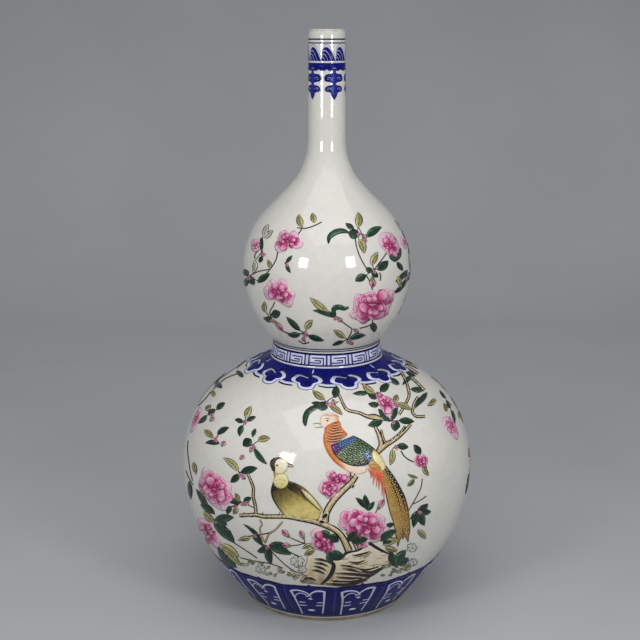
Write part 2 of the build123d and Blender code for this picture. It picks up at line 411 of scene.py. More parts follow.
class Painting:
    """Thin closed patches of paint that make one piece of the decoration."""

    def __init__(self, name, place=from_photo, mirrored=False, turn=0.0):
        self.name, self.place, self.mirrored, self.turn = name, place, mirrored, math.radians(turn)
        self.patches = []

    def add(self, points, faces, layer, shade, paint):
        points = np.asarray(points, float)
        shade = np.broadcast_to(np.asarray(shade, float), (len(points),))
        self.patches.append((points, np.asarray(faces, int), layer, shade, paint))

    def fill(self, points, paint, layer=1, shade=0.5, curved=True, spacing=3.0):
        """A closed outline filled with paint."""
        edge = closed_curve(points, spacing * 0.6) if curved else self.even_edge(points, spacing)
        low, high = edge.min(axis=0), edge.max(axis=0)
        columns = np.arange(low[0] + spacing / 2, high[0], spacing)
        rows = np.arange(low[1] + spacing / 2, high[1], spacing)
        inner = np.array([(x, y) for x in columns for y in rows]).reshape(-1, 2)
        if len(inner):
            inner = inner[inside(edge, inner)]
        if len(inner):
            nearest = np.min(np.linalg.norm(inner[:, None] - edge[None], axis=2), axis=1)
            inner = inner[nearest > spacing * 0.35]
        corners = [Vector(p) for p in edge] + [Vector(p) for p in inner]
        flat = geometry.delaunay_2d_cdt(corners, [], [list(range(len(edge)))], 1, 1e-4)
        where = np.array([tuple(p) for p in flat[0]])
        tone = shade(where) if callable(shade) else shade
        self.add(where, flat[2], layer, tone, paint)

    @staticmethod
    def even_edge(points, spacing):
        points = np.asarray(points, float)
        line = []
        for start, end in zip(points, np.roll(points, -1, axis=0)):
            count = max(1, int(math.ceil(np.linalg.norm(end - start) / spacing)))
            line += [start + (end - start) * t for t in np.arange(count) / count]
        return np.array(line)

    def stroke(self, path, width, paint, layer=2, shade=0.5, across=2, step=2.0, curved=True):
        """A brush stroke along a path, with one width or a width for each of its points."""
        path = np.asarray(path, float)
        widths = np.broadcast_to(np.asarray(width, float), (len(path),))
        joined = np.column_stack([path, widths])
        if curved and len(path) > 2:
            line = spline(joined, step)
        else:
            line = np.vstack([self.even_edge(joined, step)[:-1], joined[-1:]]) if len(path) > 2 else \
                np.array([joined[0] + (joined[1] - joined[0]) * t for t in
                          np.linspace(0, 1, max(2, int(np.linalg.norm(path[1] - path[0]) / step) + 1))])
        along = np.gradient(line[:, :2], axis=0)
        along /= np.linalg.norm(along, axis=1)[:, None] + 1e-9
        side = np.stack([-along[:, 1], along[:, 0]], axis=1)
        offsets = np.linspace(-0.5, 0.5, across)
        half = np.maximum(line[:, 2], 0.12)[:, None, None] * offsets[None, :, None]
        points = (line[:, None, :2] + side[:, None, :] * half).reshape(-1, 2)
        self.add(points, grid_faces(len(line), across), layer, shade, paint)

    def blade(self, base, tip, width, paint, layer=2, bend=0.0, fullest=0.45, blunt=0.8, shade=None,
              along=9, across=5):
        """A leaf or petal from its base to its tip; bend moves its middle sideways."""
        base, tip = np.asarray(base, float), np.asarray(tip, float)
        span = tip - base
        side = np.array([-span[1], span[0]]) / (np.linalg.norm(span) + 1e-9)
        u = np.linspace(0, 1, along)
        line = base + span * u[:, None] + side * (4 * u * (1 - u))[:, None] * bend
        power = math.log(0.5) / math.log(fullest)
        body = np.sin(math.pi * np.clip(u, 0, 1) ** power) ** blunt
        half = (np.maximum(body * width, 0.12) / 2)[:, None, None]
        forward = np.gradient(line, axis=0)
        forward /= np.linalg.norm(forward, axis=1)[:, None] + 1e-9
        sideways = np.stack([-forward[:, 1], forward[:, 0]], axis=1)
        v = np.linspace(-1, 1, across)
        points = (line[:, None] + sideways[:, None] * half * v[None, :, None]).reshape(-1, 2)
        tone = 0.5 if shade is None else shade(np.repeat(u, across), np.tile(v, along))
        self.add(points, grid_faces(along, across), layer, tone, paint)
        return line

    def build(self, slot_name="porcelain"):
        """One mesh from all the patches: each has a top, a hidden back and a thin rim."""
        turn, height = self.place(np.vstack([patch[0] for patch in self.patches]))
        if self.mirrored:
            turn = math.pi - turn
        turn = turn + self.turn
        places, faces, smooth, shades, slots = [], [], [], [], []
        names = sorted({patch[4] for patch in self.patches})
        start = used = 0
        for points, corners, layer, shade, paint in self.patches:
            count = len(points)
            if not len(corners):
                start += count
                continue
            t, h = turn[start:start + count], height[start:start + count]
            start += count
            a, b, c = (corners[:, i] for i in range(3))
            area = ((t[b] - t[a]) * (h[c] - h[a]) - (t[c] - t[a]) * (h[b] - h[a])).sum()
            if area < 0:
                corners = corners[:, ::-1]
            lift = GLAZE + FIRST_LAYER + LAYER * layer
            places.append(on_surface(t, h, lift))
            places.append(on_surface(t, h, GLAZE - PAINT_SUNK))
            directed = {(int(p), int(q)) for f in corners for p, q in zip(f, np.roll(f, -1))}
            rim = sorted(edge for edge in directed if edge[::-1] not in directed)
            top = [tuple(int(i) + used for i in f) for f in corners]
            back = [tuple(int(i) + used + count for i in f[::-1]) for f in corners]
            wall = [(q + used, p + used, p + used + count, q + used + count) for p, q in rim]
            faces += top + back + wall
            smooth += [True] * len(top) + [False] * (len(back) + len(wall))
            slots += [names.index(paint)] * (len(top) + len(back) + len(wall))
            shades += [shade, shade]
            used += 2 * count
        piece = new_piece(self.name, np.vstack(places), faces)
        mesh = piece.data
        for name in names:
            mesh.materials.append(paints[name])
        mesh.polygons.foreach_set("material_index", slots)
        mesh.polygons.foreach_set("use_smooth", smooth)
        tone = mesh.attributes.new("shade", "FLOAT", "POINT")
        tone.data.foreach_set("value", np.concatenate(shades))
        mesh.update()
        return piece


# The glaze coat: one skin from the foot's glaze line to inside the neck
BORE_RADIUS = 6.8 * MM
GLAZE_INSIDE = 31.0 * MM
COAT_TURNS = 192


def coat_section():
    """The skin's closed section: up the outside, over the lip, down the bore and back."""
    top = outline_z[-1]
    lip_radius = (np.interp(top, outline_z, outline_r) - BORE_RADIUS) / 2
    lip_z = cad_box[1][2] - lip_radius
    heights = outline_z[(outline_z > GLAZE_EDGE * MM) & (outline_z < lip_z)]
    arc = np.linspace(0, math.pi, 17)

    def side(lift):
        radius = np.interp(heights, outline_z, outline_r) + lift * np.interp(heights, outline_z, normal_r)
        raised = heights + lift * np.interp(heights, outline_z, normal_z)
        lip = [(BORE_RADIUS + lip_radius + (lip_radius + lift) * math.cos(t),
                lip_z + (lip_radius + lift) * math.sin(t)) for t in arc]
        bore = [(BORE_RADIUS - lift, z) for z in np.linspace(lip_z, lip_z - GLAZE_INSIDE, 20)[1:]]
        return list(zip(radius, raised)) + lip + bore

    outer = side(GLAZE)
    inner = side(-GLAZE_SUNK)
    return outer + inner[::-1]


def build_coat():
    section = np.array(coat_section())
    count = len(section)
    places, faces = [], []
    for turn in np.arange(COAT_TURNS) * 2 * math.pi / COAT_TURNS:
        places += [(r * math.sin(turn), -r * math.cos(turn), z) for r, z in section]
    for i in range(COAT_TURNS):
        start, after = i * count, ((i + 1) % COAT_TURNS) * count
        for j in range(count):
            k = (j + 1) % count
            faces.append((start + j, after + j, after + k, start + k))
    coat = new_piece("glaze_coat", places, faces)
    coat.data.materials.append(glaze)
    coat.data.polygons.foreach_set("use_smooth", [True] * len(faces))
    return coat


build_coat()


# Blue borders
def ring_band(painting, low, high, paint, layer, shade, rows=2, turns=144):
    """A band right round the vase, between two heights in millimetres."""
    grid = [(360.0 * i / turns - 180, low + (high - low) * j / (rows - 1))
            for i in range(turns + 1) for j in range(rows)]
    painting.add(grid, grid_faces(turns + 1, rows), layer, shade, paint)


def ring_line(painting, height, width, paint, layer, shade=0.5):
    ring_band(painting, height - width / 2, height + width / 2, paint, layer, shade)


def moved(points, turn):
    return [(u + turn, v) for u, v in points]


def block(painting, left, right, low, high, paint, layer, shade):
    """A straight-sided patch in degrees and millimetres."""
    columns = max(2, int((right - left) / 2) + 2)
    rows = max(2, int((high - low) / 0.8) + 2)
    grid = [(u, v) for u in np.linspace(left, right, columns) for v in np.linspace(low, high, rows)]
    painting.add(grid, grid_faces(columns, rows), layer, shade, paint)


WAVES = 8
wave_arc = [(-13, 302.9), (-9, 304.3), (-3, 305.0), (4, 304.9), (12, 303.7), (20, 301.5), (26, 299.2),
            (30, 297.5)]
wave_root = (-16, 297.5)


def scaled_arc(arc, root, share):
    return [(root[0] + (u - root[0]) * share, root[1] + (v - root[1]) * share) for u, v in arc]


def build_neck_border():
    lines = Painting("lip_lines", from_ring)
    ring_line(lines, LIP_LINE, 0.75, "cobalt_line", 1, 0.4)
    ring_line(lines, SECOND_LINE, 0.6, "cobalt_line", 1, 0.5)
    lines.build()
    body, foam = Painting("wave_bodies", from_ring), Painting("wave_crests", from_ring)
    for i in range(WAVES):
        turn = i * 360 / WAVES - 2
        arc = moved(wave_arc, turn)
        root = (wave_root[0] + turn, wave_root[1])
        body.fill(arc + [root], "cobalt", 1, lambda p: 0.35 + 0.12 * (p[:, 1] - 297) / 8, curved=False,
                  spacing=2.2)
        foam.stroke(arc, 1.55, "cobalt_line", 2, 0.4, step=2.5)
        foam.stroke(arc, 1.0, "lavender", 3, 0.8, step=2.5)
        for share, width in ((0.70, 0.34), (0.47, 0.30), (0.26, 0.26)):
            foam.stroke(scaled_arc(arc, root, share), width, "lavender", 2, 0.55, step=3.0)
    body.build()
    foam.build()


PENDANTS = 5
PENDANT_TURN = 22.9
pendant_half = [(5.4, 293.6), (5.2, 291.6), (12, 291.0), (22, 290.9), (29, 289.9), (31, 288.6), (27, 287.3),
                (17, 286.9),
                (8, 286.5), (5.2, 285.7), (11, 285.2), (21, 284.9), (27.5, 284.0), (28.5, 283.0),
                (24, 282.0),
                (14, 281.7), (10.5, 281.1), (8, 279.8), (3.5, 278.5), (0, 277.9)]


pendant_curl = [(9, -0.2), (15, 0.5), (21, 0.35), (22, -0.4), (17, -0.5)]
CURL_HEIGHTS = (288.7, 283.3)
PENDANT_MIDDLE = 286.0
SCALLOP_TURNS = (11.0, 36.0, 61.0)
SCALLOP_HALF = 12.0
SCALLOP_TOP = 293.5
SCALLOP_DROP = 1.0


def widened(points, centre, share):
    return [(u * share[0], centre + (v - centre) * share[1]) for u, v in points]


def build_pendants():
    band = Painting("pendant_band", from_ring)
    ring_line(band, PALE_LINE, 0.55, "lavender", 1, 0.7)
    ring_band(band, *PENDANT_BAND, "cobalt", 1, 0.42, rows=3)
    ring_line(band, PENDANT_BAND[1] - 0.3, 0.5, "cobalt_line", 2, 0.3)
    drops = Painting("pendants", from_ring)
    whole = pendant_half + [(-u, v) for u, v in pendant_half[-2::-1]]
    for i in range(PENDANTS):
        turn = PENDANT_TURN + i * 360 / PENDANTS
        for offset in SCALLOP_TURNS:
            scallop = [(turn + offset + SCALLOP_HALF * math.cos(t),
                        SCALLOP_TOP - SCALLOP_DROP * math.sin(t))
                       for t in np.linspace(0, math.pi, 9)]
            band.fill(scallop, "cobalt", 2, 0.5, curved=False, spacing=2.5)
        drops.fill(moved(widened(whole, PENDANT_MIDDLE, (1.10, 1.03)), turn), "lavender", 1, 0.35,
                   spacing=1.6)
        drops.fill(moved(whole, turn), "cobalt_line", 2, 0.5, spacing=1.6)
        drops.fill(moved(widened(whole, PENDANT_MIDDLE + 0.5, (0.84, 0.93)), turn), "cobalt", 3,
                   lambda p, c=turn: np.clip(0.75 - np.abs(p[:, 0] - c) / 60, 0.2, 0.9), spacing=1.6)
        for side in (-1, 1):
            for height in CURL_HEIGHTS:
                curl = [(turn + side * u, height + v) for u, v in pendant_curl]
                drops.stroke(curl, 0.28, "lavender", 4, 0.2, step=2.0)
    band.build()
    drops.build()


KEYS = 16
KEY_HALF = 8.4
KEY_BLUE = 0.62
KEY_TURN = 2.0
KEY_POST_HALF = 1.35
WAIST_RADIUS = 29.0


def build_key_band():
    lines = Painting("waist_lines", from_ring)
    for height in WAIST_LINES:
        ring_line(lines, height, 0.62, "cobalt_line", 1, 0.45)
    lines.build()
    ground = Painting("key_ground", from_ring)
    ring_band(ground, *KEY_BAND, "cobalt", 1, 0.30, rows=4)
    ring_line(ground, KEY_BAND[1] + 0.15, 0.5, "cobalt_line", 2, 0.3)
    ground.build()
    fret = Painting("key_fret", from_ring)
    low, high = KEY_BAND[0] + 0.75, KEY_BAND[1] - 0.7
    thin = math.degrees(KEY_BLUE / WAIST_RADIUS)
    for i in range(KEYS):
        turn = KEY_TURN + (i + 0.5) * 360 / KEYS
        block(fret, turn - KEY_HALF, turn + KEY_HALF, low, high, "lavender", 2, 0.72)
        post = turn + 180 / KEYS
        block(fret, post - KEY_POST_HALF, post + KEY_POST_HALF, low, high, "lavender", 2, 0.66)
        upper, lower, middle = high - 1.35, low + 1.15, low + 2.35
        right, inner, left = turn + KEY_HALF - 2.6, turn + KEY_HALF - 5.6, turn - KEY_HALF
        block(fret, left + 2.3, right, upper - KEY_BLUE / 2, upper + KEY_BLUE / 2, "cobalt", 3, 0.3)
        block(fret, right - thin / 2, right + thin / 2, low - 0.1, upper + KEY_BLUE / 2, "cobalt", 3, 0.3)
        block(fret, left, inner, lower - KEY_BLUE / 2, lower + KEY_BLUE / 2, "cobalt", 3, 0.3)
        block(fret, inner - thin / 2, inner + thin / 2, lower, middle + KEY_BLUE / 2, "cobalt", 3, 0.3)
        block(fret, left + 5.2, inner, middle - KEY_BLUE / 2, middle + KEY_BLUE / 2, "cobalt", 3, 0.3)
    fret.build()


# The collar of cloud heads on the lower bulb's shoulder
CLOUDS = 12
CLOUD_TURN = -14.0
cloud_head = [(302.8, 376), (297.7, 375), (292.6, 377.8), (291.1, 380.3), (294.7, 382.9), (297.7, 383.9),
              (297.9, 386.4), (299.8, 388.5), (303.5, 389.8), (306.9, 390), (310.5, 389.6), (313, 388.5),
              (315.6, 384.9),
              (320.7, 383.4), (322.7, 380.8), (319.7, 377.8), (315.1, 376), (310.5, 376.2), (307.9, 378)]
cloud_bar = [(321.8, 384.6), (326.5, 385.9), (332.2, 385.9)]
cloud_tick = [(313.2, 369.4), (313.0, 373.6)]
cloud_gap = [(-2.6, 136.9), (-0.4, 136.2), (1.2, 135.2), (0.4, 134.4)]
cloud_gap_widths = [1.5, 1.9, 1.7, 0.9]
BAR_STRETCH = 1.6


def grown(points, share):
    points = np.asarray(points, float)
    middle = (points.min(axis=0) + points.max(axis=0)) / 2
    return middle + (points - middle) * share


def build_collar():
    ground = Painting("collar_ground", from_ring)
    head = ring_points(cloud_head) - (CLOUD_TURN, 0)
    bar = ring_points(cloud_bar) - (CLOUD_TURN, 0)
    tick = ring_points(cloud_tick) - (CLOUD_TURN, 0)
    edge_height = bar[:, 1].mean() + 0.3
    bar = bar.mean(axis=0) + (bar - bar.mean(axis=0)) * (BAR_STRETCH, 1.0)
    ring_line(ground, COLLAR_LINE, 0.5, "lavender", 1, 0.75)
    ring_band(ground, edge_height, COLLAR_LINE - 0.3, "cobalt", 1, 0.36, rows=7, turns=180)
    heads = Painting("cloud_heads", from_ring)
    bars = Painting("collar_bars", from_ring)
    for i in range(CLOUDS):
        turn = CLOUD_TURN + i * 360 / CLOUDS
        place = head + (turn, 0)
        heads.fill(grown(place, 1.07), "cobalt_line", 2, 0.35, spacing=1.3)
        heads.fill(grown(place, 1.0), "lavender", 3, 0.8, spacing=1.3)
        centre = place.mean(axis=0)
        heads.fill(grown(place, 0.74) + (0, 0.15), "cobalt", 4,
                   lambda p, c=centre: np.clip(0.18 + np.abs(p[:, 0] - c[0]) / 22, 0, 0.7), spacing=1.3)
        heads.stroke(moved(cloud_gap, turn), cloud_gap_widths, "cobalt", 5, 0.3, step=0.8)
        bars.stroke(bar + (turn, -0.25), 1.15, "cobalt_line", 2, 0.35, step=1.0)
        bars.stroke(bar + (turn, 0), 0.75, "lavender", 3, 0.8, step=1.0)
        if i % 2 == 0:
            bars.stroke(tick + (turn, 0), [0.8, 1.4], "lavender", 2, 0.45, step=1.0)
    ground.build()
    heads.build()
    bars.build()


# The lappets round the foot
LAPPETS = 15
LAPPET_TURN = -8.0
lappet_left = [(302.4, 613.4), (299.5, 606.5), (295.2, 598.0), (291.2, 591.0), (290.6, 590.0)]
lappet_top = [(290.8, 590.4), (296.5, 589.9), (302.5, 591.0), (307.3, 593.2), (309.6, 595.2),
              (311.5, 596.8)]
lappet_top_right = [(306.3, 596.2), (308.8, 595.6), (310.8, 593.6), (314.5, 591.6), (319.5, 591.0),
                    (324.4, 591.6)]
lappet_right = [(324.4, 591.4), (324.2, 598), (323.6, 606), (322.6, 613.2)]
lappet_curl = [(295.2, 597.0), (296.2, 594.4), (299.5, 592.8), (303.5, 593.4), (306.2, 595.2),
               (306.9, 596.8)]
lappet_dashes = [[(299.4, 601.6), (305.6, 601.9)], [(299.9, 604.6), (306.9, 605.0)],
                 [(317.2, 602.6), (323.2, 602.5)], [(316.0, 605.4), (323.0, 605.3)]]
lappet_dot = (311.6, 609.9)
lappet_diamond = (310.4, 598.6)
diamond_corners = ((-1.3, 0), (0, 0.9), (1.3, 0), (0, -0.9))
DOT_HALF_TURN = 2.1
DOT_HALF_HEIGHT = 0.85


def build_lappets():
    ground = Painting("lappet_ground", from_ring)
    ring_band(ground, LAPPET_FOOT, LAPPET_TOP - 2.0, "cobalt", 1, 0.33, rows=14, turns=180)
    panels, trim = Painting("lappet_panels", from_ring), Painting("lappet_trim", from_ring)

    def local(points):
        return ring_points(points) - (LAPPET_TURN, 0)

    left, right = local(lappet_left), local(lappet_right)
    top, top_right, curl = local(lappet_top), local(lappet_top_right), local(lappet_curl)
    dashes = [local(dash) for dash in lappet_dashes]
    dot, diamond = local([lappet_dot])[0], local([lappet_diamond])[0]
    half = 180 / LAPPETS
    for i in range(LAPPETS):
        turn = LAPPET_TURN + i * 360 / LAPPETS
        at = (turn, 0)
        crest = [(turn - half, LAPPET_TOP - 0.6), (turn - half * 0.55, LAPPET_TOP + 0.15),
                 (turn - 1.1, LAPPET_TOP + 0.25), (turn, LAPPET_TOP + 1.25),
                 (turn + 1.1, LAPPET_TOP + 0.25),
                 (turn + half * 0.55, LAPPET_TOP + 0.15), (turn + half, LAPPET_TOP - 0.6),
                 (turn + half, LAPPET_TOP - 2.6), (turn - half, LAPPET_TOP - 2.6)]
        ground.fill(crest, "cobalt_line", 2, 0.55, curved=False, spacing=1.6)
        panels.stroke([(turn + half, 5), (turn + half, 14), (turn + half, 24), (turn + half, 29.4)],
                      [0.8, 1.1, 1.3, 0.5], "cobalt_wash", 2, 0.10, step=1.5)
        for side in (-1, 1):
            edge = [(turn + side * (half - 2.0), 29.3), (turn + side * (half - 2.1), 20),
                    (turn + side * (half - 2.1), 12), (turn + side * (half - 1.8), 4.6)]
            panels.stroke(edge, 0.7, "cobalt_line", 2, 0.2, step=1.5)
        trim.stroke(left + at, [0.95, 0.85, 1.0, 1.2, 0.9], "lavender", 3, 0.8, step=1.0)
        trim.stroke(top + at, [1.1, 1.0, 0.9, 0.8, 0.7, 0.4], "lavender", 3, 0.8, step=1.0)
        trim.stroke(top_right + at, [0.4, 0.7, 0.8, 0.95, 1.1, 1.0], "lavender", 4, 0.8, step=1.0)
        trim.stroke(right + at, [1.2, 1.0, 0.85, 0.95], "lavender", 3, 0.8, step=1.0)
        trim.stroke(curl + at, 0.5, "lavender", 4, 0.6, step=1.0)
        for dash in dashes:
            trim.stroke(dash + at, [0.75, 0.45], "lavender", 3, 0.7, step=1.0)
        spot = [(dot[0] + turn + DOT_HALF_TURN * math.cos(t), dot[1] + DOT_HALF_HEIGHT * math.sin(t))
                for t in np.arange(10) * 2 * math.pi / 10]
        trim.fill(spot, "lavender", 3, 0.8, spacing=1.0)
        gem = [(diamond[0] + turn + x, diamond[1] + y) for x, y in diamond_corners]
        trim.fill(gem, "lavender", 3, 0.7, curved=False, spacing=1.0)
    ground.build()
    panels.build()
    trim.build()


build_neck_border()
build_pendants()
build_key_band()
build_collar()
build_lappets()


# Leaves, buds, flowers and branches
MIDRIB_SHADE = 0.3
HUB_REACH = 13


def leaf_tone(rng):
    light = rng.uniform(0.25, 0.50)
    turn = rng.choice((-1, 1))
    phase = rng.uniform(0, 6)
    return lambda u, v: (light + 0.22 * turn * v - 0.10 * (1 - np.abs(v))
                         + 0.16 * np.sin(15 * u + 5 * np.abs(v) + phase) * (0.4 + np.abs(v)))


# Each copy of a spray: the end of its name, whether it is mirrored, and its turn in degrees
HANDS = (("", False, 0.0), ("_back", True, 0.0))
SIDES = HANDS + (("_side", False, 141.0),)
UPPER_SIDES = HANDS + (("_side", False, 136.0),)


# The flowers that the side copy repeats
SIDE_FLOWERS = ("left_peony", "left_streak", "upper_left_flower", "lower_left_flower", "pale_left_flower")


def copy_of(name, hand):
    return Painting(name + hand[0], mirrored=hand[1], turn=hand[2])


LEAF_PAINTS = {
    "dark": ("vein", "leaf_green", "vein"),
    "yellow": ("brown_line", "leaf_yellow", "brown_line"),
    "grey": ("grey_green", "grey_green", "vein"),
    "open": ("brown_line", "white_enamel", "grey_green"),
}


def paint_leaf(painting, kind, base, tip, width, rng, layer=3, bend=None):
    rim, body, rib = LEAF_PAINTS[kind]
    base, tip = np.asarray(base, float), np.asarray(tip, float)
    length = np.linalg.norm(tip - base)
    if bend is None:
        bend = rng.uniform(-0.10, 0.10) * length
    ahead = (tip - base) / (length + 1e-9)
    painting.blade(base - ahead * 0.2, tip + ahead * 0.7, width + 0.9, rim, layer, bend, 0.46, 0.78,
                   lambda u, v: 0.30 + 0 * u)
    line = painting.blade(base, tip, max(width - 0.5, 0.8), body, layer + 1, bend, 0.46, 0.78,
                          leaf_tone(rng))
    if width < 3:
        return
    painting.stroke(line[1:-1], [0.55] * (len(line) - 3) + [0.25], rib, layer + 2, MIDRIB_SHADE, step=3.0)
    side = np.array([-ahead[1], ahead[0]])
    for i in (2, 3, 4, 5, 6):
        reach = width * 0.34 * math.sin(math.pi * i / 8.5)
        for hand in (-1, 1):
            end = line[i] + ahead * reach * 0.8 + side * reach * hand
            painting.stroke([line[i], end], 0.26, rib, layer + 2, MIDRIB_SHADE, step=4.0)


def paint_round_leaf(painting, kind, centre, radius, rng, layer=3):
    angle = rng.uniform(0, 2 * math.pi)
    reach = np.array([math.cos(angle), math.sin(angle)]) * radius
    centre = np.asarray(centre, float)
    paint_leaf(painting, kind, centre - reach, centre + reach, radius * 1.75, rng, layer)


def paint_hub(painting, hub, leaves, rng, layer):
    """Short stems from a spray's hub to the leaves near it, a floret beside it and its dark knot."""
    hub = np.asarray(hub, float)
    for _, base, tip, _ in leaves:
        base = np.asarray(base, float)
        if np.linalg.norm(base - hub) < HUB_REACH:
            ahead = np.asarray(tip, float) - base
            base = base + ahead * 0.12
            painting.stroke([hub, (hub + base) / 2 + rng.uniform(-0.4, 0.4), base], [1.0, 0.8, 0.6],
                            "brown_line",
                            layer - 1, 0.15)
    floret = hub + np.array([rng.uniform(0.6, 1.6), rng.uniform(1.4, 2.4)])
    for i in range(5):
        angle = 2 * math.pi * (i + rng.uniform(-0.2, 0.2)) / 5
        tip = floret + np.array([math.cos(angle), math.sin(angle)]) * rng.uniform(1.7, 2.7)
        painting.blade(floret, tip, 1.7, "pink_line", layer + 3, 0, 0.6, 0.7, lambda u, v: 0.7 + 0.3 * u, 6,
                       3)
        painting.blade(floret, floret * 0.2 + tip * 0.8, 1.1, "pink", layer + 4, 0, 0.6, 0.7,
                       lambda u, v: 0.35 + 0.6 * u, 6, 3)
    painting.stroke([floret - (0.5, 0.2), floret + (0.5, 0.3)], 0.8, "pink_line", layer + 5, 0.05, step=0.8)
    painting.stroke([hub - (0.9, 0.7), hub + (0.1, 0.2), hub + (0.9, 0.9)], [0.6, 1.3, 0.6], "vein",
                    layer + 3, 0.3,
                    step=0.8)


def paint_leaves(name, leaves, seed, rounds=(), layer=3, hubs=(), hands=HANDS):
    rng = random.Random(seed)
    for hand in hands:
        painting = copy_of(name, hand)
        rng.seed(seed)
        for kind, base, tip, width in leaves:
            paint_leaf(painting, kind, base, tip, width, rng, layer)
        for kind, centre, radius in rounds:
            paint_round_leaf(painting, kind, centre, radius, rng, layer)
        for hub in hubs:
            paint_hub(painting, hub, leaves, rng, layer)
        painting.build()


def paint_ribbon_leaf(painting, path, widths, least, rib_width):
    """A long leaf that curls over, painted along its midrib."""
    widths = np.array(widths)
    painting.stroke(path, widths + 0.7, "vein", 3, 0.3, across=3)
    painting.stroke(path, np.maximum(widths - 0.5, least), "leaf_green", 4, 0.45, across=3)
    painting.stroke(path, rib_width, "vein", 5, 0.3)


def reach_table(edge, core):
    """How far a closed outline lies from its core in each direction."""
    offset = np.asarray(edge, float) - core
    angles = np.arctan2(offset[:, 1], offset[:, 0])
    order = np.argsort(angles)
    return angles[order], np.linalg.norm(offset, axis=1)[order]


PETAL_RINGS = ((1.02, 8, 0.80, 0.10), (0.84, 8, 0.72, 0.02), (0.66, 7, 0.66, -0.06), (0.48, 6, 0.60, -0.12),
               (0.31, 5, 0.52, -0.04))


def paint_flower(painting, edge, core, seed, layer=3, rings=PETAL_RINGS, depth=0.0):
    """A double flower inside a given outline, its petals opening from the core."""
    rng = random.Random(seed)
    core = np.asarray(core, float)
    edge = closed_curve(edge, 2.0)
    angles, reaches = reach_table(edge, core)
    size = reaches.mean()

    def spread(points):
        return np.clip(0.35 + 0.55 * np.linalg.norm(points - core, axis=1) / size, 0, 0.95)

    painting.fill(grown(edge, 1.0 + 0.45 / size), "pink_pale", layer, 0.25, curved=False, spacing=2.4)
    painting.fill(edge, "pink_pale", layer + 1, spread, curved=False, spacing=2.4)
    for corner in edge[::3]:
        reach = corner - core
        bend = rng.uniform(-0.05, 0.05) * size
        painting.blade(core + reach * 0.35, core + reach * rng.uniform(0.84, 0.95),
                       size * rng.uniform(0.22, 0.36), "pink",
                       layer + 1.6, bend, 0.6, 0.7,
                       lambda u, v: np.clip(0.45 + 0.50 * u + 0.12 * np.abs(v), 0, 1), 7, 3)
        painting.stroke([core + reach * 0.6, core + reach * rng.uniform(0.88, 0.97)], [0.3, 0.12],
                        "pink_line",
                        layer + 1.8, 0.7, step=3.0)
    for k, (share, count, broad, lighter) in enumerate(rings):
        start = rng.uniform(0, 2 * math.pi)
        for i in range(count):
            angle = start + 2 * math.pi * (i + rng.uniform(-0.22, 0.22)) / count
            far = np.interp(angle, angles, reaches, period=2 * math.pi) * share * rng.uniform(0.86, 1.0)
            ahead = np.array([math.cos(angle), math.sin(angle)])
            base = core + ahead * far * 0.22
            tip = core + ahead * far
            width = far * broad * rng.uniform(0.85, 1.15)
            bend = rng.uniform(-0.12, 0.12) * far
            level = layer + 2 + 2 * k
            tone = rng.uniform(-0.10, 0.10) + lighter - depth
            painting.blade(base, tip + ahead * 0.25, width + 0.5, "pink_line", level, bend, 0.66, 0.55,
                           lambda u, v: 0.35 + 0.5 * u, 8, 5)
            painting.blade(base, tip - ahead * 0.15, width - 0.1, "pink", level + 1, bend, 0.66, 0.55,
                           lambda u, v, t=tone: np.clip(0.02 + t + 0.90 * u ** 2.3 + 0.14 * np.abs(v) ** 2
                                                        + 0.05 * np.sin(9 * v), 0, 1), 8, 5)
            for hand in (-0.45, 0.1, 0.5):
                side = np.array([-ahead[1], ahead[0]])
                crease = [base + (tip - base) * 0.15,
                          base + (tip - base) * 0.55 + side * hand * width * 0.35,
                          base + (tip - base) * 0.86 + side * hand * width * 0.48]
                painting.stroke(crease, [0.35, 0.3, 0.12], "pink_line", level + 2, 0.6, step=3.0)
    top = layer + 3 + 2 * len(rings)
    start = rng.uniform(0, 2 * math.pi)
    for i in range(7 if size > 9 else 4):
        angle = start + 2.4 * i
        far = np.interp(angle, angles, reaches, period=2 * math.pi)
        ahead = np.array([math.cos(angle), math.sin(angle)])
        base = core + ahead * far * rng.uniform(0.10, 0.30)
        tip = core + ahead * far * rng.uniform(0.52, 0.80)
        width = far * rng.uniform(0.34, 0.50)
        bend = rng.uniform(-0.10, 0.10) * far
        painting.blade(base - ahead * 0.5, tip + ahead * 0.3, width + 0.9, "pink", top, bend, 0.64, 0.6,
                       lambda u, v: 0.06 + 0.2 * u, 8, 5)
        painting.blade(base, tip, width, "pink", top + 1, bend, 0.64, 0.6,
                       lambda u, v, d=depth: np.clip(0.30 - d + 0.72 * u ** 0.8 - 0.12 * v ** 2, 0, 1), 8,
                       5)


def paint_bud(painting, base, tip, width, layer=3, calyx="grey_green"):
    """A closed bud: pale petals, thin deep lines and three sepals."""
    base, tip = np.asarray(base, float), np.asarray(tip, float)
    span = tip - base
    painting.blade(base + span * 0.15, tip + span * 0.06, width + 0.6, "pink_line", layer, 0, 0.5, 0.8,
                   lambda u, v: 0.35 + 0 * u)
    painting.blade(base + span * 0.2, tip, width - 0.5, "pink", layer + 1, 0, 0.5, 0.8,
                   lambda u, v: np.clip(0.95 - 0.35 * u + 0.1 * np.abs(v), 0, 1))
    side = np.array([-span[1], span[0]]) / (np.linalg.norm(span) + 1e-9)
    for hand in (-0.18, 0.12):
        painting.stroke([base + span * 0.45 + side * hand * width,
                         base + span * 0.92 + side * hand * width * 0.4],
                        [width * 0.10 + 0.15, width * 0.16 + 0.2], "pink_line", layer + 1.5, 0.35, step=1.5)
    for hand in (-1, 0, 1):
        painting.blade(base, base + span * 0.5 + side * hand * width * 0.36, width * 0.34, calyx, layer + 2,
                       0, 0.45, 0.8,
                       lambda u, v: 0.25 + 0.4 * u, 6, 3)


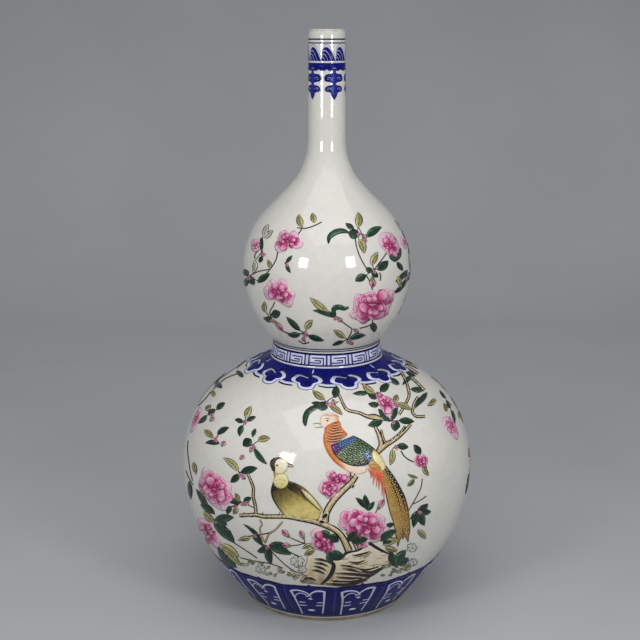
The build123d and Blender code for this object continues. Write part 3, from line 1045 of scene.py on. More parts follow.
def paint_twig(painting, path, width, layer=2, dark=0.25):
    path = np.asarray(path, float)
    painting.stroke(path, width + 0.35, "brown_line", layer, dark)
    if width > 1.2:
        painting.stroke(path + (0.0, -width * 0.12), width * 0.5, "bark", layer + 1, 0.45)


def paint_branch(painting, path, width, rng, layer=3):
    """A thick branch: dark edges, pale bark, knots and short bark marks."""
    path = np.asarray(path, float)
    widths = np.broadcast_to(np.asarray(width, float), (len(path),))
    painting.stroke(path, widths + 1.3 + 0.35 * widths, "ink", layer, 0.35, across=3, step=1.8)
    painting.stroke(path, widths - 0.1, "bark", layer + 1, 0.55, across=3, step=1.8)
    line = spline(path, 2.2)
    ahead = np.gradient(line, axis=0)
    ahead /= np.linalg.norm(ahead, axis=1)[:, None] + 1e-9
    side = np.stack([-ahead[:, 1], ahead[:, 0]], axis=1)
    wide = widths.mean()
    painting.stroke(line + side * wide * -0.16, wide * 0.26, "cream", layer + 2, 0.7, step=2.5)
    for point, forward, out in zip(line[1:-1], ahead[1:-1], side[1:-1]):
        for hand in (-1, 1):
            if rng.random() < 0.62:
                start = point + out * hand * wide * rng.uniform(0.25, 0.42)
                end = start + forward * rng.uniform(0.8, 2.0) - out * hand * wide * rng.uniform(0.02, 0.2)
                painting.stroke([start, end], [rng.uniform(0.4, 0.9), 0.2], "ink", layer + 2, 0.45,
                                step=2.0)
            if rng.random() < 0.35:
                start = point + out * hand * wide * 0.62
                end = start + forward * rng.uniform(1.2, 2.6)
                painting.stroke([start, end], [wide * 0.22 + 0.3, 0.3], "ink", layer, 0.3, step=2.0)


def paint_knot(painting, centre, radii, angle, layer=6):
    turns = np.arange(10) * 2 * math.pi / 10
    across = np.array([math.cos(angle), math.sin(angle)])
    down = np.array([-across[1], across[0]])
    for share, paint, level in ((1.35, "cream", layer), (1.0, "ink", layer + 1)):
        ring = [np.asarray(centre) + across * radii[0] * share * math.cos(t)
                + down * radii[1] * share * math.sin(t) for t in turns]
        painting.fill(ring, paint, level, 0.3, spacing=1.2)


# The boughs of the lower bulb
main_bough = [(239.3, 515.3), (255, 514.8), (265.2, 516.4), (285.6, 516.6), (300.9, 519.0), (316.2, 522),
              (328.8, 526.6),
              (337.5, 531.5), (343.5, 539), (349, 550.9)]
main_bough_widths = [1.6, 2.0, 2.2, 2.4, 2.8, 3.4, 3.8, 3.8, 4.2, 5.0]
rising_bough = [(325.5, 522), (326.5, 512.5), (332.8, 501.5), (342, 491.5), (351, 483), (356.5, 475.5)]
rising_bough_widths = [4.2, 4.4, 4.2, 4.0, 3.8, 3.0]
trunk_fork = [(347.5, 531.5), (351.5, 538), (354.5, 543), (357, 549)]
left_trunk = [(247.8, 473.8), (250.9, 480.9), (253.4, 488), (253.4, 497), (255.5, 506.4), (256, 513.6)]
left_stem = [(259.9, 519.6), (262.1, 524.5), (259.9, 528.3), (261.5, 535.4), (265.3, 542.9)]
left_stem_up = [(265.3, 542.9), (268.8, 534.5), (275.5, 529.5), (282.8, 521.5)]
left_cross = [(246.5, 536.5), (258.5, 534.8), (269.0, 532.8), (275.5, 529.5)]
upper_twig = [(339, 394.9), (343.6, 405.2), (347.6, 410.4), (359.1, 413.2), (367.1, 416.7), (374, 417.2),
              (382.6, 419.5)]
right_fork_left = [(375.2, 427), (379.2, 436), (381.2, 445.4), (377, 453.0)]
right_fork_right = [(377.5, 452.5), (386, 445.0), (396.5, 438.5), (405.0, 431.0), (411, 424.5)]
right_fork_inner = [(380.9, 429.9), (384.4, 441.3), (390.1, 441.3), (399.9, 433.3), (405, 426.4)]
right_lower_twig = [(400.8, 451), (403.9, 456), (409, 460), (413.6, 462)]
far_twigs = [[(406.2, 366), (412, 370), (418.2, 374.2)], [(411.3, 377.6), (418, 384), (424.6, 390.8)],
             [(418.2, 397), (414.5, 403), (413, 408), (412.5, 412.6), (416.5, 416.7), (425, 416.7)],
             [(398, 368.5), (404, 377), (407.5, 386), (409, 396), (404.5, 406), (399, 415)]]
thin_stems = [[(422.2, 478.6), (421, 487), (417.7, 494.4), (412.6, 503.6), (408.5, 510.2)],
              [(413, 504), (420, 500.5), (426.3, 495.9)],
              [(234.4, 542.9), (245.5, 550.0), (257.2, 558.1)],
              [(240.4, 557.6), (254, 560.8), (270, 563.5), (283, 568.0)],
              [(188.1, 440.6), (187.6, 450.3), (188.6, 459.5), (190.2, 470.7), (192.7, 480.9)],
              [(186, 470.7), (189.0, 478.0), (193.2, 485)],
              [(238.5, 373.4), (225.7, 378.5), (218, 385), (213, 389.7)],
              [(210.4, 392), (206.8, 397.3), (197.7, 406.5)],
              [(240.0, 472.0), (247.8, 473.8)], [(241.5, 502.5), (247.5, 504.5), (254.6, 508.2)],
              [(325.0, 404.0), (331.5, 403.4), (338.5, 402.2)],
              [(379.0, 392.5), (381.0, 402.0), (384.0, 412.0)],
              [(284.5, 549.0), (292.0, 553.0), (298.5, 556.0)],
              [(290.5, 537.6), (298.0, 541.0), (304.3, 543)],
              [(304.5, 539.8), (304.6, 543.0)], [(291.5, 545.6), (298.5, 544.8), (304.3, 543)],
              [(304.3, 543), (309.0, 545.6), (313.5, 548.2)],
              [(228.0, 513.0), (224.5, 520.0), (222.5, 527.0)],
              [(376.8, 510.2), (375.2, 513.5)],
              [(268.5, 548.0), (277.0, 557.0), (287.5, 566.5), (297.0, 572.5)]]


thick_boughs = (
    (main_bough, main_bough_widths),
    (rising_bough, rising_bough_widths),
    (trunk_fork, [2.4, 2.2, 2.0, 1.6]),
    (upper_twig, [0.9, 1.2, 1.4, 1.5, 2.0, 3.6, 2.2]),
    (right_fork_left, [1.4, 2.4, 3.2, 2.6]),
    (right_fork_right, [3.0, 3.2, 2.2, 1.6, 1.0]),
    (right_fork_inner, [0.8, 1.0, 1.2, 1.0, 0.8]))
left_trunk_widths = [1.0, 1.3, 1.4, 1.5, 1.6, 1.4]
plain_twigs = ((left_stem, 1.3), (left_stem_up, 1.4), (left_cross, 0.8), (right_lower_twig, 0.9))
# Each knot: its centre, its two radii and its turn
knots = (((324.9, 515.6), (3.2, 1.9), -0.7), ((321.9, 521.6), (2.8, 1.5), 0.1),
         ((352.8, 486.0), (1.9, 1.1), -1.2))
thorns = [[(x, 515.2), (x + 1.0, 511.8)] for x in (243.5, 262.0, 279.0)]


def build_boughs():
    for hand in HANDS:
        rng = random.Random(11)
        thick = copy_of("boughs", hand)
        for path, widths in thick_boughs:
            paint_branch(thick, path, widths, rng)
        for centre, radii, angle in knots:
            paint_knot(thick, centre, radii, angle)
        thick.build()
        thin = copy_of("twigs", hand)
        paint_branch(thin, left_trunk, left_trunk_widths, rng, 2)
        for path, width in plain_twigs:
            paint_twig(thin, path, width)
        for path in far_twigs:
            paint_branch(thin, path, 1.3, rng, 2)
        for path in thin_stems:
            paint_twig(thin, path, 0.6)
        for thorn in thorns:
            thin.stroke(thorn, [0.9, 0.3], "ink", 5, 0.4, step=2.0)
        thin.build()


# Leaves of the lower bulb, each as paint, base, tip and width in the photograph
left_upper_leaves = [
    ("dark", (206.8, 415.2), (198.4, 423.1), 4), ("dark", (208.4, 415.2), (214.5, 409.6), 5),
    ("dark", (217, 410), (224.7, 403.5), 5), ("yellow", (205, 410), (210.5, 405.5), 4),
    ("yellow", (213.5, 397), (212, 391), 4), ("dark", (217.6, 435), (228.8, 428), 5),
    ("yellow", (204.3, 430), (213, 438), 5), ("yellow", (245.1, 417.8), (250.7, 407), 6),
    ("dark", (246.6, 421.3), (255.3, 417.2), 4), ("dark", (243.1, 422.9), (235.4, 420.1), 4),
    ("dark", (243.1, 425.4), (240, 436), 5), ("dark", (256, 429), (253, 437), 3.5),
    ("dark", (219.8, 443.7), (206, 443.2), 4.5), ("dark", (254.4, 447.8), (267, 463.9), 5),
    ("yellow", (258, 441), (269.7, 439), 6), ("dark", (215.0, 383.5), (221.5, 388.0), 4.5),
    ("dark", (243.2, 377.5), (236.5, 371.5), 4)]
left_middle_leaves = [
    ("yellow", (238.6, 471.7), (223.8, 458.5), 6), ("dark", (240.7, 472.8), (257, 468.2), 7),
    ("dark", (239.1, 473.8), (231, 481.9), 6), ("dark", (239.1, 502.3), (227.4, 500.3), 5),
    ("yellow", (239.7, 500.8), (235.6, 493.7), 4), ("dark", (243.7, 501.8), (250.9, 497.8), 5),
    ("dark", (231, 506), (228, 513.6), 5), ("yellow", (236.5, 507), (233.5, 513.6), 5),
    ("dark", (196.3, 489), (209.6, 513.6), 5), ("dark", (189, 481), (191, 498.8), 4),
    ("dark", (214.0, 520.5), (233.4, 517.5), 8), ("dark", (216.0, 518.0), (226.9, 524.5), 6),
    ("dark", (200.5, 504.0), (214.5, 514.0), 6), ("yellow", (204.0, 511.0), (215.0, 522.0), 6),
    ("yellow", (193.5, 462.0), (196.0, 474.0), 4)]
left_lower_leaves = [
    ("dark", (213.3, 523.4), (234.4, 542.9), 9), ("dark", (219.0, 531.0), (230.5, 531.5), 6),
    ("yellow", (221, 544), (238.8, 556.5), 8), ("yellow", (225.0, 549.0), (240.4, 565), 6),
    ("dark", (224, 554), (236.6, 567), 6), ("dark", (217.5, 546.0), (229.0, 566.0), 5),
    ("dark", (263.0, 545.5), (243.7, 524.5), 3.4), ("dark", (252.3, 537), (263.6, 546.1), 3),
    ("yellow", (250.7, 538.6), (238.8, 540.2), 4.5), ("dark", (268, 546.6), (257.8, 551), 6),
    ("dark", (268, 546.6), (290.5, 554.3), 8), ("dark", (268, 546.6), (271.6, 563.5), 7),
    ("dark", (268, 546.6), (283, 543), 6), ("yellow", (311.9, 544.1), (302.8, 548.2), 4),
    ("yellow", (315, 549.7), (304.8, 554.8), 5)]
upper_right_leaves = [
    ("yellow", (324.8, 399.7), (313, 391), 6), ("dark", (320.7, 402.8), (312, 403), 3),
    ("dark", (334.5, 398.2), (336, 386.4), 7), ("yellow", (328.8, 405.8), (342, 415), 5),
    ("yellow", (375.2, 393.7), (363.1, 383.9), 6), ("dark", (380.4, 392), (389, 385.4), 7),
    ("dark", (368.3, 393.7), (353.4, 394), 4), ("dark", (376.9, 399), (368.3, 394), 5),
    ("dark", (379.2, 405.2), (368.9, 404), 5), ("yellow", (394.7, 402.3), (397, 395.4), 5),
    ("yellow", (394.7, 404), (411.3, 410.4), 5), ("dark", (390.1, 421.8), (378.6, 409.5), 6),
    ("dark", (391.8, 420.7), (397.6, 408), 6), ("dark", (382.6, 420.1), (368.3, 425.3), 7),
    ("dark", (398.7, 420.7), (413.6, 421.8), 6), ("dark", (406, 372.5), (415, 376.5), 4),
    ("dark", (423, 391), (411, 389.5), 5), ("dark", (399.5, 384.5), (390.5, 378.0), 4.5)]
right_middle_leaves = [
    ("dark", (397, 445.4), (407.9, 447.1), 6), ("dark", (420, 455), (413.9, 445.4), 6),
    ("yellow", (392.1, 449), (390.1, 464.8), 5.5), ("grey", (417.7, 477.6), (408, 474), 2.4),
    ("grey", (414, 479), (407.4, 485.7), 4), ("dark", (417.0, 512.0), (427.3, 504), 6),
    ("dark", (420.0, 510.7), (410.5, 518.4), 7), ("dark", (420.0, 512.0), (413.6, 527), 6),
    ("dark", (421.0, 512.0), (424.3, 525), 7), ("dark", (419.5, 510.5), (430.4, 511.2), 6),
    ("dark", (368.2, 510.7), (364.8, 494.9), 6), ("dark", (368.2, 510.7), (374.2, 502), 4),
    ("dark", (366.5, 508.5), (356.0, 498.0), 4.5), ("dark", (386, 526), (393.7, 524), 4),
    ("yellow", (421.7, 464.5), (425.8, 469.4), 4), ("yellow", (422.5, 468.0), (427.9, 475.5), 4)]
rock_leaves = [
    ("dark", (330.0, 538.0), (321.5, 531.5), 7), ("dark", (329.0, 537.0), (338.0, 541.0), 8),
    ("dark", (329.0, 553.0), (344.0, 556.0), 9), ("dark", (330.0, 551.0), (331.5, 563.5), 7),
    ("dark", (347.6, 540.5), (356.5, 531.5), 7), ("dark", (352.0, 541.5), (367.0, 538.5), 7),
    ("dark", (380.5, 541.0), (396.0, 530.5), 7), ("dark", (383.0, 543.5), (392.0, 541.0), 5),
    ("yellow", (383.5, 545.0), (398.0, 539.5), 6), ("yellow", (385.0, 547.0), (397.0, 549.5), 5),
    ("dark", (396.0, 566.0), (390.5, 551.0), 8), ("dark", (396.0, 566.0), (405.5, 550.5), 8),
    ("dark", (398.0, 564.0), (408.0, 558.0), 6), ("yellow", (417.7, 530), (425, 538), 5)]
curled_leaf = [(319.7, 407.3), (315.5, 407.6), (311, 409.9), (307.0, 413.4), (305.4, 418), (305.0, 422.5),
               (305.6, 426.4)]
curled_leaf_widths = [2.0, 4.4, 5.0, 5.0, 4.8, 3.8, 0.8]
left_upper_rounds = [("dark", (247.5, 442.6), 5)]
upper_right_rounds = [("dark", (323, 405.5), 5), ("dark", (396.4, 425.9), 5)]
left_upper_hubs = [(244.6, 421.6), (210.6, 413.2), (215.5, 438.6), (252.6, 445.6)]
left_middle_hubs = [(239.8, 472.6), (241.2, 502.0), (234.2, 506.2)]
left_lower_hubs = [(266.4, 545.6)]
upper_right_hubs = [(326.2, 402.6), (377.6, 396.4), (392.6, 421.2), (395.4, 404.8)]
right_middle_hubs = [(395.6, 446.2), (418.8, 510.4)]


def build_lower_leaves():
    paint_leaves("leaves_left_upper", left_upper_leaves, 1, left_upper_rounds, hubs=left_upper_hubs,
                 hands=SIDES)
    paint_leaves("leaves_left_middle", left_middle_leaves, 2, hubs=left_middle_hubs, hands=SIDES)
    paint_leaves("leaves_left_lower", left_lower_leaves, 3, hubs=left_lower_hubs)
    paint_leaves("leaves_right_upper", upper_right_leaves, 4, upper_right_rounds, hubs=upper_right_hubs)
    paint_leaves("leaves_right_middle", right_middle_leaves, 5, hubs=right_middle_hubs)
    paint_leaves("leaves_by_rock", rock_leaves, 6, layer=9)
    for hand in HANDS:
        curl = copy_of("curled_leaf", hand)
        paint_ribbon_leaf(curl, curled_leaf, curled_leaf_widths, 0.4, 0.45)
        for x, y in curled_leaf[1:-1]:
            curl.stroke([(x - 1.6, y - 1.2), (x + 0.2, y)], 0.3, "vein", 5, 0.3)
            curl.stroke([(x + 1.4, y + 1.4), (x + 0.2, y)], 0.3, "vein", 5, 0.3)
        curl.build()


# Flowers of the lower bulb
left_peony = [(202.4, 470.2), (206.5, 467.7), (210.6, 472.8), (218.7, 474.3), (222.8, 479.9),
              (227.9, 481.9),
              (231.5, 486), (230.5, 492.7), (228.9, 497.8), (226.9, 501.3), (227.9, 506.4), (224.3, 510.5),
              (217.7, 508), (210.6, 502.9), (205, 496.2), (200.4, 490), (198.8, 483.5), (201.4, 475.8)]
middle_peony_head = [(327.6, 472.5), (333.5, 470.4), (337.5, 474.0), (344.0, 473.5), (349.5, 476.0),
                     (347.5, 480.5),
                     (343.0, 484.5), (338.5, 484.0), (332.5, 485.5), (329.0, 481.0), (327.2, 477.0)]
middle_peony = [(320.5, 484.5), (323.5, 480.0), (329.5, 479.5), (334.0, 481.5), (338.5, 483.0),
                (340.5, 487.5),
                (337.0, 492.5), (333.5, 497.0), (328.5, 498.5), (323.5, 494.5), (319.5, 491.0),
                (318.8, 487.5)]
rock_peony = [(337.9, 522.8), (345.3, 521.6), (342.5, 515.3), (348.8, 508.4), (355.7, 510.2),
              (362.6, 511.3),
              (369.4, 513.6), (378.6, 513.6), (384.9, 518.8), (384.4, 523.4), (389, 528), (386.7, 533.7),
              (382.6, 537.1), (377.5, 541.2), (370.6, 541.7), (368.9, 537.1), (360.0, 536.0),
              (349.4, 531.7),
              (341.9, 529.1), (338.4, 524.5)]
low_peony = [(311.0, 533.0), (315.5, 528.8), (321.0, 530.5), (325.0, 534.5), (329.0, 539.5), (334.0, 545.0),
             (333.5, 551.5), (328.0, 552.5), (321.5, 550.5), (315.5, 548.5), (312.0, 543.5), (312.5, 538.0)]
edge_peony = [(198, 518.6), (203.0, 519.0), (209, 522.9), (213.0, 529.0), (216, 535.4), (220.4, 542.9),
              (216, 547.8),
              (209, 539.7), (203.5, 533.0), (199.0, 526.0)]
side_flower = [(415.0, 458.0), (418.5, 454.5), (423.5, 455.0), (427.0, 459.0), (426.5, 464.0),
               (422.0, 467.0),
               (417.0, 465.5), (414.6, 462.0)]
upper_flower = [(376.0, 396.5), (380.0, 393.0), (384.5, 396.5), (390.0, 398.0), (394.0, 403.0),
                (393.0, 409.0),
                (391.5, 418.5), (387.0, 417.5), (382.5, 411.0), (379.0, 405.0)]
lower_petal = [(357.0, 541.5), (362.0, 540.0), (368.5, 543.0), (366.5, 547.0), (361.0, 547.8),
               (357.5, 545.0)]
left_streak = [(200.0, 407.6), (201.5, 413.0), (198.5, 421.0), (194.0, 430.0), (190.8, 431.8),
               (192.0, 424.0),
               (195.5, 414.5)]
small_rings = ((1.0, 6, 0.8, 0.0), (0.68, 5, 0.7, -0.08), (0.38, 4, 0.6, -0.06))
buds = [((332.5, 399.5), (334.9, 406.0), 4.5), ((221.5, 446.5), (225.0, 441.5), 4.5),
        ((240.0, 459.5), (244.0, 455.5), 4.5),
        ((250.0, 452.5), (253.0, 447.5), 4.5), ((241.0, 475.0), (245.5, 479.0), 4.5),
        ((244.0, 505.5), (248.5, 501.5), 4.5),
        ((210.0, 421.5), (214.0, 417.5), 4.5), ((253.5, 537.5), (257.5, 534.0), 4.0),
        ((290.0, 537.4), (282.3, 530.3), 5.5),
        ((304.3, 539.5), (300.2, 530.8), 5.0), ((291.5, 545.6), (282.9, 545.1), 5.0),
        ((376.8, 510.2), (384.0, 499.5), 5.5),
        ((379.5, 400.0), (377.0, 392.5), 5.0)]


# Each flower: its name, outline, core, rings of petals and depth of colour
LOWER_FLOWERS = (
    ("left_peony", left_peony, (214.5, 489.0), PETAL_RINGS, 0.0),
    ("middle_peony_head", middle_peony_head, (337.5, 478.0), small_rings, 0.05),
    ("middle_peony", middle_peony, (329.5, 489.0), small_rings, 0.05),
    ("rock_peony", rock_peony, (364.5, 524.5), PETAL_RINGS, 0.0),
    ("low_peony", low_peony, (325.0, 543.5), small_rings, 0.12),
    ("edge_peony", edge_peony, (208.0, 531.0), small_rings, 0.05),
    ("side_flower", side_flower, (420.7, 460.7), small_rings, 0.0),
    ("upper_flower", upper_flower, (384.0, 402.0), small_rings, -0.10),
    ("lower_petal", lower_petal, (362.0, 544.0), small_rings[2:], -0.15),
    ("left_streak", left_streak, (196.5, 418.5), small_rings[2:], 0.0))


def build_lower_flowers():
    for hand in SIDES:
        for seed, (name, edge, core, rings, depth) in enumerate(LOWER_FLOWERS):
            if hand in HANDS or name in SIDE_FLOWERS:
                painting = copy_of(name, hand)
                paint_flower(painting, edge, core, 40 + seed, 3, rings, depth)
                painting.build()
    for hand in HANDS:
        painting = copy_of("lower_buds", hand)
        for base, tip, width in buds:
            paint_bud(painting, base, tip, width)
        painting.build()


# The rock and the small plants by it
rock_edge = [(303.8, 571), (307.3, 560.9), (308.4, 556.3), (318.0, 556.8), (330.0, 560.0), (342.5, 559.5),
             (347.6, 553.8),
             (359.1, 550.9), (365.0, 547.0), (369.4, 545.2), (376.0, 549.0), (383.8, 552.6), (395.3, 552.1),
             (395.3, 556.7), (386.7, 565.3), (380.9, 569.9), (372.0, 575.0), (360.0, 580.5), (345.0, 584.6),
             (330.0, 584.8), (314.0, 583.6), (301.0, 581.6), (303.0, 576.0)]
rock_shadow = [(343.0, 556.5), (345.5, 553.2), (351.0, 551.6), (358.0, 550.0), (366.0, 545.2),
               (369.4, 543.2),
               (375.5, 547.0), (383.0, 551.0), (390.0, 554.2)]
rock_shadow_widths = [0.6, 2.6, 1.8, 1.6, 2.6, 3.2, 3.0, 2.2, 1.2]
rock_cleft_widths = [1.2, 4.0, 4.4, 3.4, 1.6]
rock_cleft = [(329.5, 560.5), (333.6, 564.5), (331.8, 572.5), (327.0, 579.0), (321.0, 584.2)]
rock_strata = [[(314, 558.6), (321.0, 559.0), (329.8, 561.6)],
               [(313.5, 562.6), (320.5, 562.8), (327.8, 565.4)],
               [(312, 569.6), (318.0, 570.2), (324.2, 573.0)],
               [(313.5, 566.0), (319.5, 566.8), (326.0, 569.6)],
               [(342.5, 568.2), (352.0, 569.4), (362, 572.4)], [(335, 572.7), (352.0, 573.4), (369.4, 575)],
               [(336.0, 576.5), (350.0, 577.6), (364.0, 578.4)],
               [(341.0, 565.4), (349.5, 565.9), (356.5, 568.0)],
               [(355.0, 567.5), (366.0, 569.5), (378.5, 566.5)],
               [(362.0, 571.5), (372.0, 571.5), (381.5, 567.0)],
               [(331.5, 580.5), (350.0, 581.3), (366.0, 578.8)],
               [(325.5, 583.2), (345.0, 584.0), (362.0, 580.6)],
               [(349.0, 561.5), (357.5, 562.5), (365.0, 560.0)],
               [(303.5, 579.5), (309.5, 577.5), (315.5, 579.5)],
               [(308.0, 574.5), (304.8, 578.5), (301.5, 581.6)],
               [(352.5, 555.5), (361.0, 554.0), (370.0, 551.0)]]
rock_black = [(361, 571.5), (370.0, 571.0), (379.5, 567.8), (384.0, 567.5), (377.0, 573.0), (369.0, 577.4),
              (360.0, 580.0),
              (352.0, 580.6), (355.0, 575.5)]
rock_base = [(335, 580.0), (350.0, 579.6), (366.0, 577.8), (369.5, 577.6), (361.0, 582.0), (347.0, 585.2),
             (334.0, 585.2)]
outlined_flowers = [((297.3, 561.0), 7.2), ((260.8, 568.8), 5.4), ((412.0, 547.5), 5.6),
                    ((413.0, 562.0), 4.8),
                    ((303.0, 569.0), 4.4)]


# Each patch of grass: its left and right side, its top and bottom, and its number of blades
grass_patches = ((265, 304, 566, 582, 34), (381, 411, 566, 577, 26), (241, 262, 559, 566, 10))


def tone_by_rock(points):
    return np.clip(0.72 - (points[:, 1] - 552) / 60 + 0.1 * np.sin(points[:, 0] * 0.6), 0.1, 0.9)


def build_rock():
    rock = Painting("rock")
    rock.fill(grown(rock_edge, 1.012), "ink", 2, 0.5, spacing=3.0)
    rock.fill(rock_edge, "rock", 3, tone_by_rock, spacing=2.6)
    rock.stroke(rock_shadow, rock_shadow_widths, "ink", 4, 0.3)
    rock.stroke(rock_cleft, rock_cleft_widths, "ink", 5, 0.25, across=3)
    rock.fill(rock_black, "ink", 4, 0.3, spacing=2.6)
    rock.fill(rock_base, "ink", 4, 0.3, spacing=2.6)
    rock.build()
    lines = Painting("rock_lines")
    rng = random.Random(21)
    for path in rock_strata:
        lines.stroke(path, [0.6, 1.7, 0.5], "ink", 6, 0.35)
        lines.stroke(np.asarray(path) + (1.5, 1.6), [0.3, 0.9, 0.3], "brown_line", 5, 0.55)
        lines.stroke(np.asarray(path) + (0.5, -1.5), [0.3, 0.9, 0.3], "cream", 5, 0.75)
    for _ in range(46):
        x, y = rng.uniform(336, 388), rng.uniform(552, 568)
        if inside(np.asarray(rock_edge), np.array([(x, y)]))[0]:
            lines.stroke([(x, y), (x + rng.uniform(2.5, 6.5), y + rng.uniform(-1.6, 0.6))], [0.3, 0.5],
                         "brown_line", 5, 0.85)
    lines.build()


def paint_outlined_flower(painting, centre, radius, rng):
    for i in range(7):
        angle = 2 * math.pi * (i + rng.uniform(-0.15, 0.15)) / 7
        ahead = np.array([math.cos(angle), math.sin(angle) * 0.8])
        tip = np.asarray(centre) + ahead * radius
        base = np.asarray(centre) + ahead * radius * 0.15
        painting.blade(base, tip + ahead * 0.3, radius * 0.62, "vein", 4, 0, 0.6, 0.7,
                       lambda u, v: 0.5 + 0 * u, 7, 5)
        painting.blade(base, tip - ahead * 0.1, radius * 0.46, "white_enamel", 5, 0, 0.6, 0.7,
                       lambda u, v: 0.5 + 0.3 * u, 7, 5)
        dot = np.asarray(centre) + ahead * radius * 0.62
        painting.stroke([dot, dot + ahead * 0.9], [0.9, 0.5], "vein", 6, 0.3)
    painting.stroke([np.asarray(centre) - (0.9, 0), np.asarray(centre) + (0.9, 0.2)], 1.5, "leaf_yellow", 7,
                    0.4)


def build_small_plants():
    for hand in HANDS:
        rng = random.Random(31)
        plants = copy_of("small_plants", hand)
        for centre, radius in outlined_flowers:
            paint_outlined_flower(plants, centre, radius, rng)
        for left, right, low, high, count in grass_patches:
            for _ in range(count):
                x, y = rng.uniform(left, right), rng.uniform(low, high)
                if left > 300:
                    y -= (x - left) * 0.22
                elif y > 568 + (x - 241) * 0.22:
                    continue
                angle = rng.uniform(-0.9, 0.9) + (math.pi if rng.random() < 0.5 else 0)
                tip = (x + 4.2 * math.cos(angle), y + 3.0 * math.sin(angle))
                kind = rng.choice(("grey", "grey", "open", "yellow"))
                paint_leaf(plants, kind, (x, y), tip, 1.7, rng, 3)
        plants.build()


# The cock pheasant
cock_head = [(320.4, 419), (322.3, 415.9), (326.0, 414.2), (330.0, 413.7), (333.8, 414.3), (337.2, 417.2),
             (339.2, 422.3),
             (340.4, 426.8), (335.0, 429.0), (328.0, 429.6), (324.5, 428.2), (321.4, 425.8), (320.2, 422.4)]
cock_cape = [(325.5, 427.6), (324.6, 433.0), (324.2, 438), (325.5, 441.6), (331.9, 443.6), (339.5, 440.8),
             (347.0, 435.2),
             (344.5, 431.4), (341.4, 427.8), (339.8, 422.6), (335.0, 422.4), (330.0, 424.4)]
cape_bars = [[(331.3, 425.0), (334.5, 426.6), (338.4, 425.4)],
             [(330.0, 427.4), (334.5, 429.2), (339.8, 428.0)],
             [(328.6, 430.0), (333.0, 431.8), (337.5, 430.6), (341.0, 430.6)],
             [(327.6, 433.0), (332.0, 434.8), (338.0, 433.4), (343.6, 433.2)],
             [(327.0, 435.6), (331.5, 437.4), (338.0, 436.6), (346.2, 434.6)],
             [(326.2, 438.2), (331.0, 440.0), (337.5, 439.4), (344.6, 436.8)],
             [(326.4, 440.8), (331.0, 442.4), (336.5, 441.8), (341.6, 439.6)],
             [(333.0, 422.9), (335.6, 423.9), (338.4, 422.9)]]
cock_breast = [(324.4, 434.0), (323.6, 440.8), (324.9, 447.2), (328.7, 454.8), (334.4, 461.9),
               (341.5, 467.6),
               (348.5, 471.4), (355.0, 473.6), (361.2, 473.6), (366.5, 470.8), (364.0, 466.5),
               (352.0, 466.0),
               (344.0, 462.5), (337.6, 456.6), (332.8, 451), (330.4, 444.0), (327.4, 441.0)]
wing_top = [(352.6, 436.2), (358.5, 438.8), (366, 443.2), (373, 448.4), (378.8, 454.0)]
wing_low = [(331.0, 445.0), (333.6, 453.0), (341, 460.8), (351.4, 465.4), (362, 466.0), (371.5, 463.0)]
blue_tuft = [(363.8, 453.5), (369.0, 451.8), (372.8, 455.5), (373.5, 461.0), (370.0, 464.0), (366.0, 459.5)]
cock_rump = [(373.2, 450.2), (379.7, 455.5), (383.5, 461.9), (385.0, 467.8), (381.6, 470.4), (376.0, 464.5),
             (372.2, 458.4)]
rump_patch = [(368.5, 464.5), (372.0, 460.8), (376.5, 463.0), (381.0, 468.5), (378.0, 470.6),
              (371.5, 469.6)]
plume_root = [(367.4, 468.9), (372.0, 467.6), (377.0, 469.0), (382.9, 469.4), (383.2, 474.0),
              (380.4, 480.0), (375.0, 477.0)]
plume_tips = [(370.4, 478.0), (372.8, 484.7), (376.3, 486.9), (378.6, 489.5), (381.9, 495.4),
              (383.6, 499.6)]
tail_left = [(380.4, 468.6), (383, 478.2), (385, 488.4), (387.6, 500.6), (390.6, 512.8), (393.7, 521.4),
             (395.4, 530),
             (397.6, 545.2)]
tail_right = [(385.5, 465.8), (392.7, 475.5), (398.8, 485.7), (403.9, 495.9), (406.9, 506.1),
              (408.5, 516.3),
              (409.5, 529), (407.9, 540.6)]


def between(first, second, u, v):
    """A point at share u along two lines and share v from the first to the second."""
    lines = []
    for line in (first, second):
        line = np.asarray(line, float)
        lengths = np.r_[0, np.cumsum(np.linalg.norm(np.diff(line, axis=0), axis=1))]
        lines.append(np.array([np.interp(u * lengths[-1], lengths, line[:, i]) for i in range(2)]))
    return lines[0] * (1 - v) + lines[1] * v


def panel(painting, first, second, span, paint, layer, shade, cells=(14, 5), edges=(0.0, 1.0)):
    """A patch between two lines, over a span of shares of their length."""
    along, across = cells
    grid = [between(first, second, u, v) for u in np.linspace(*span, along)
            for v in np.linspace(*edges, across)]
    tone = [shade(u, v) for u in np.linspace(0, 1, along) for v in np.linspace(0, 1, across)]
    painting.add(grid, grid_faces(along, across), layer, tone, paint)


breast_shade = [(324.6, 436.0), (324.4, 442.0), (326.6, 449.0), (331.0, 456.2), (337.0, 462.8),
                (344.5, 467.6)]
breast_shade_widths = [0.8, 1.6, 1.8, 1.6, 1.2, 0.4]
belly_fold = [(347, 471.8), (351.0, 475.0), (355.5, 476.0)]
cock_leg = [(350.5, 472.5), (350.6, 475.4)]
cock_toes = [(346.5, 477.5), (350.0, 479.0), (354.5, 478.6)]
crown_marks = [[(x, 416.6), (x + 3.2, 415.4), (x + 6.0, 418.0)] for x in (324.0, 327.0, 330.0, 333.0)]
beak_top = [(312.8, 424.1), (317.0, 423.6), (321.4, 424.6)]
beak_low = [(315.6, 427.9), (319.0, 427.8), (322.6, 427.0)]
beak = [(312.8, 424.3), (317.0, 424.0), (321.6, 424.8), (322.2, 426.9), (318.5, 427.6), (315.6, 427.8)]
cock_eye = (327.4, 421.2)
cock_brow = [(324.6, 419.6), (327.4, 418.8), (330.2, 420.2)]
EYE_RADII = (1.5, 1.3)


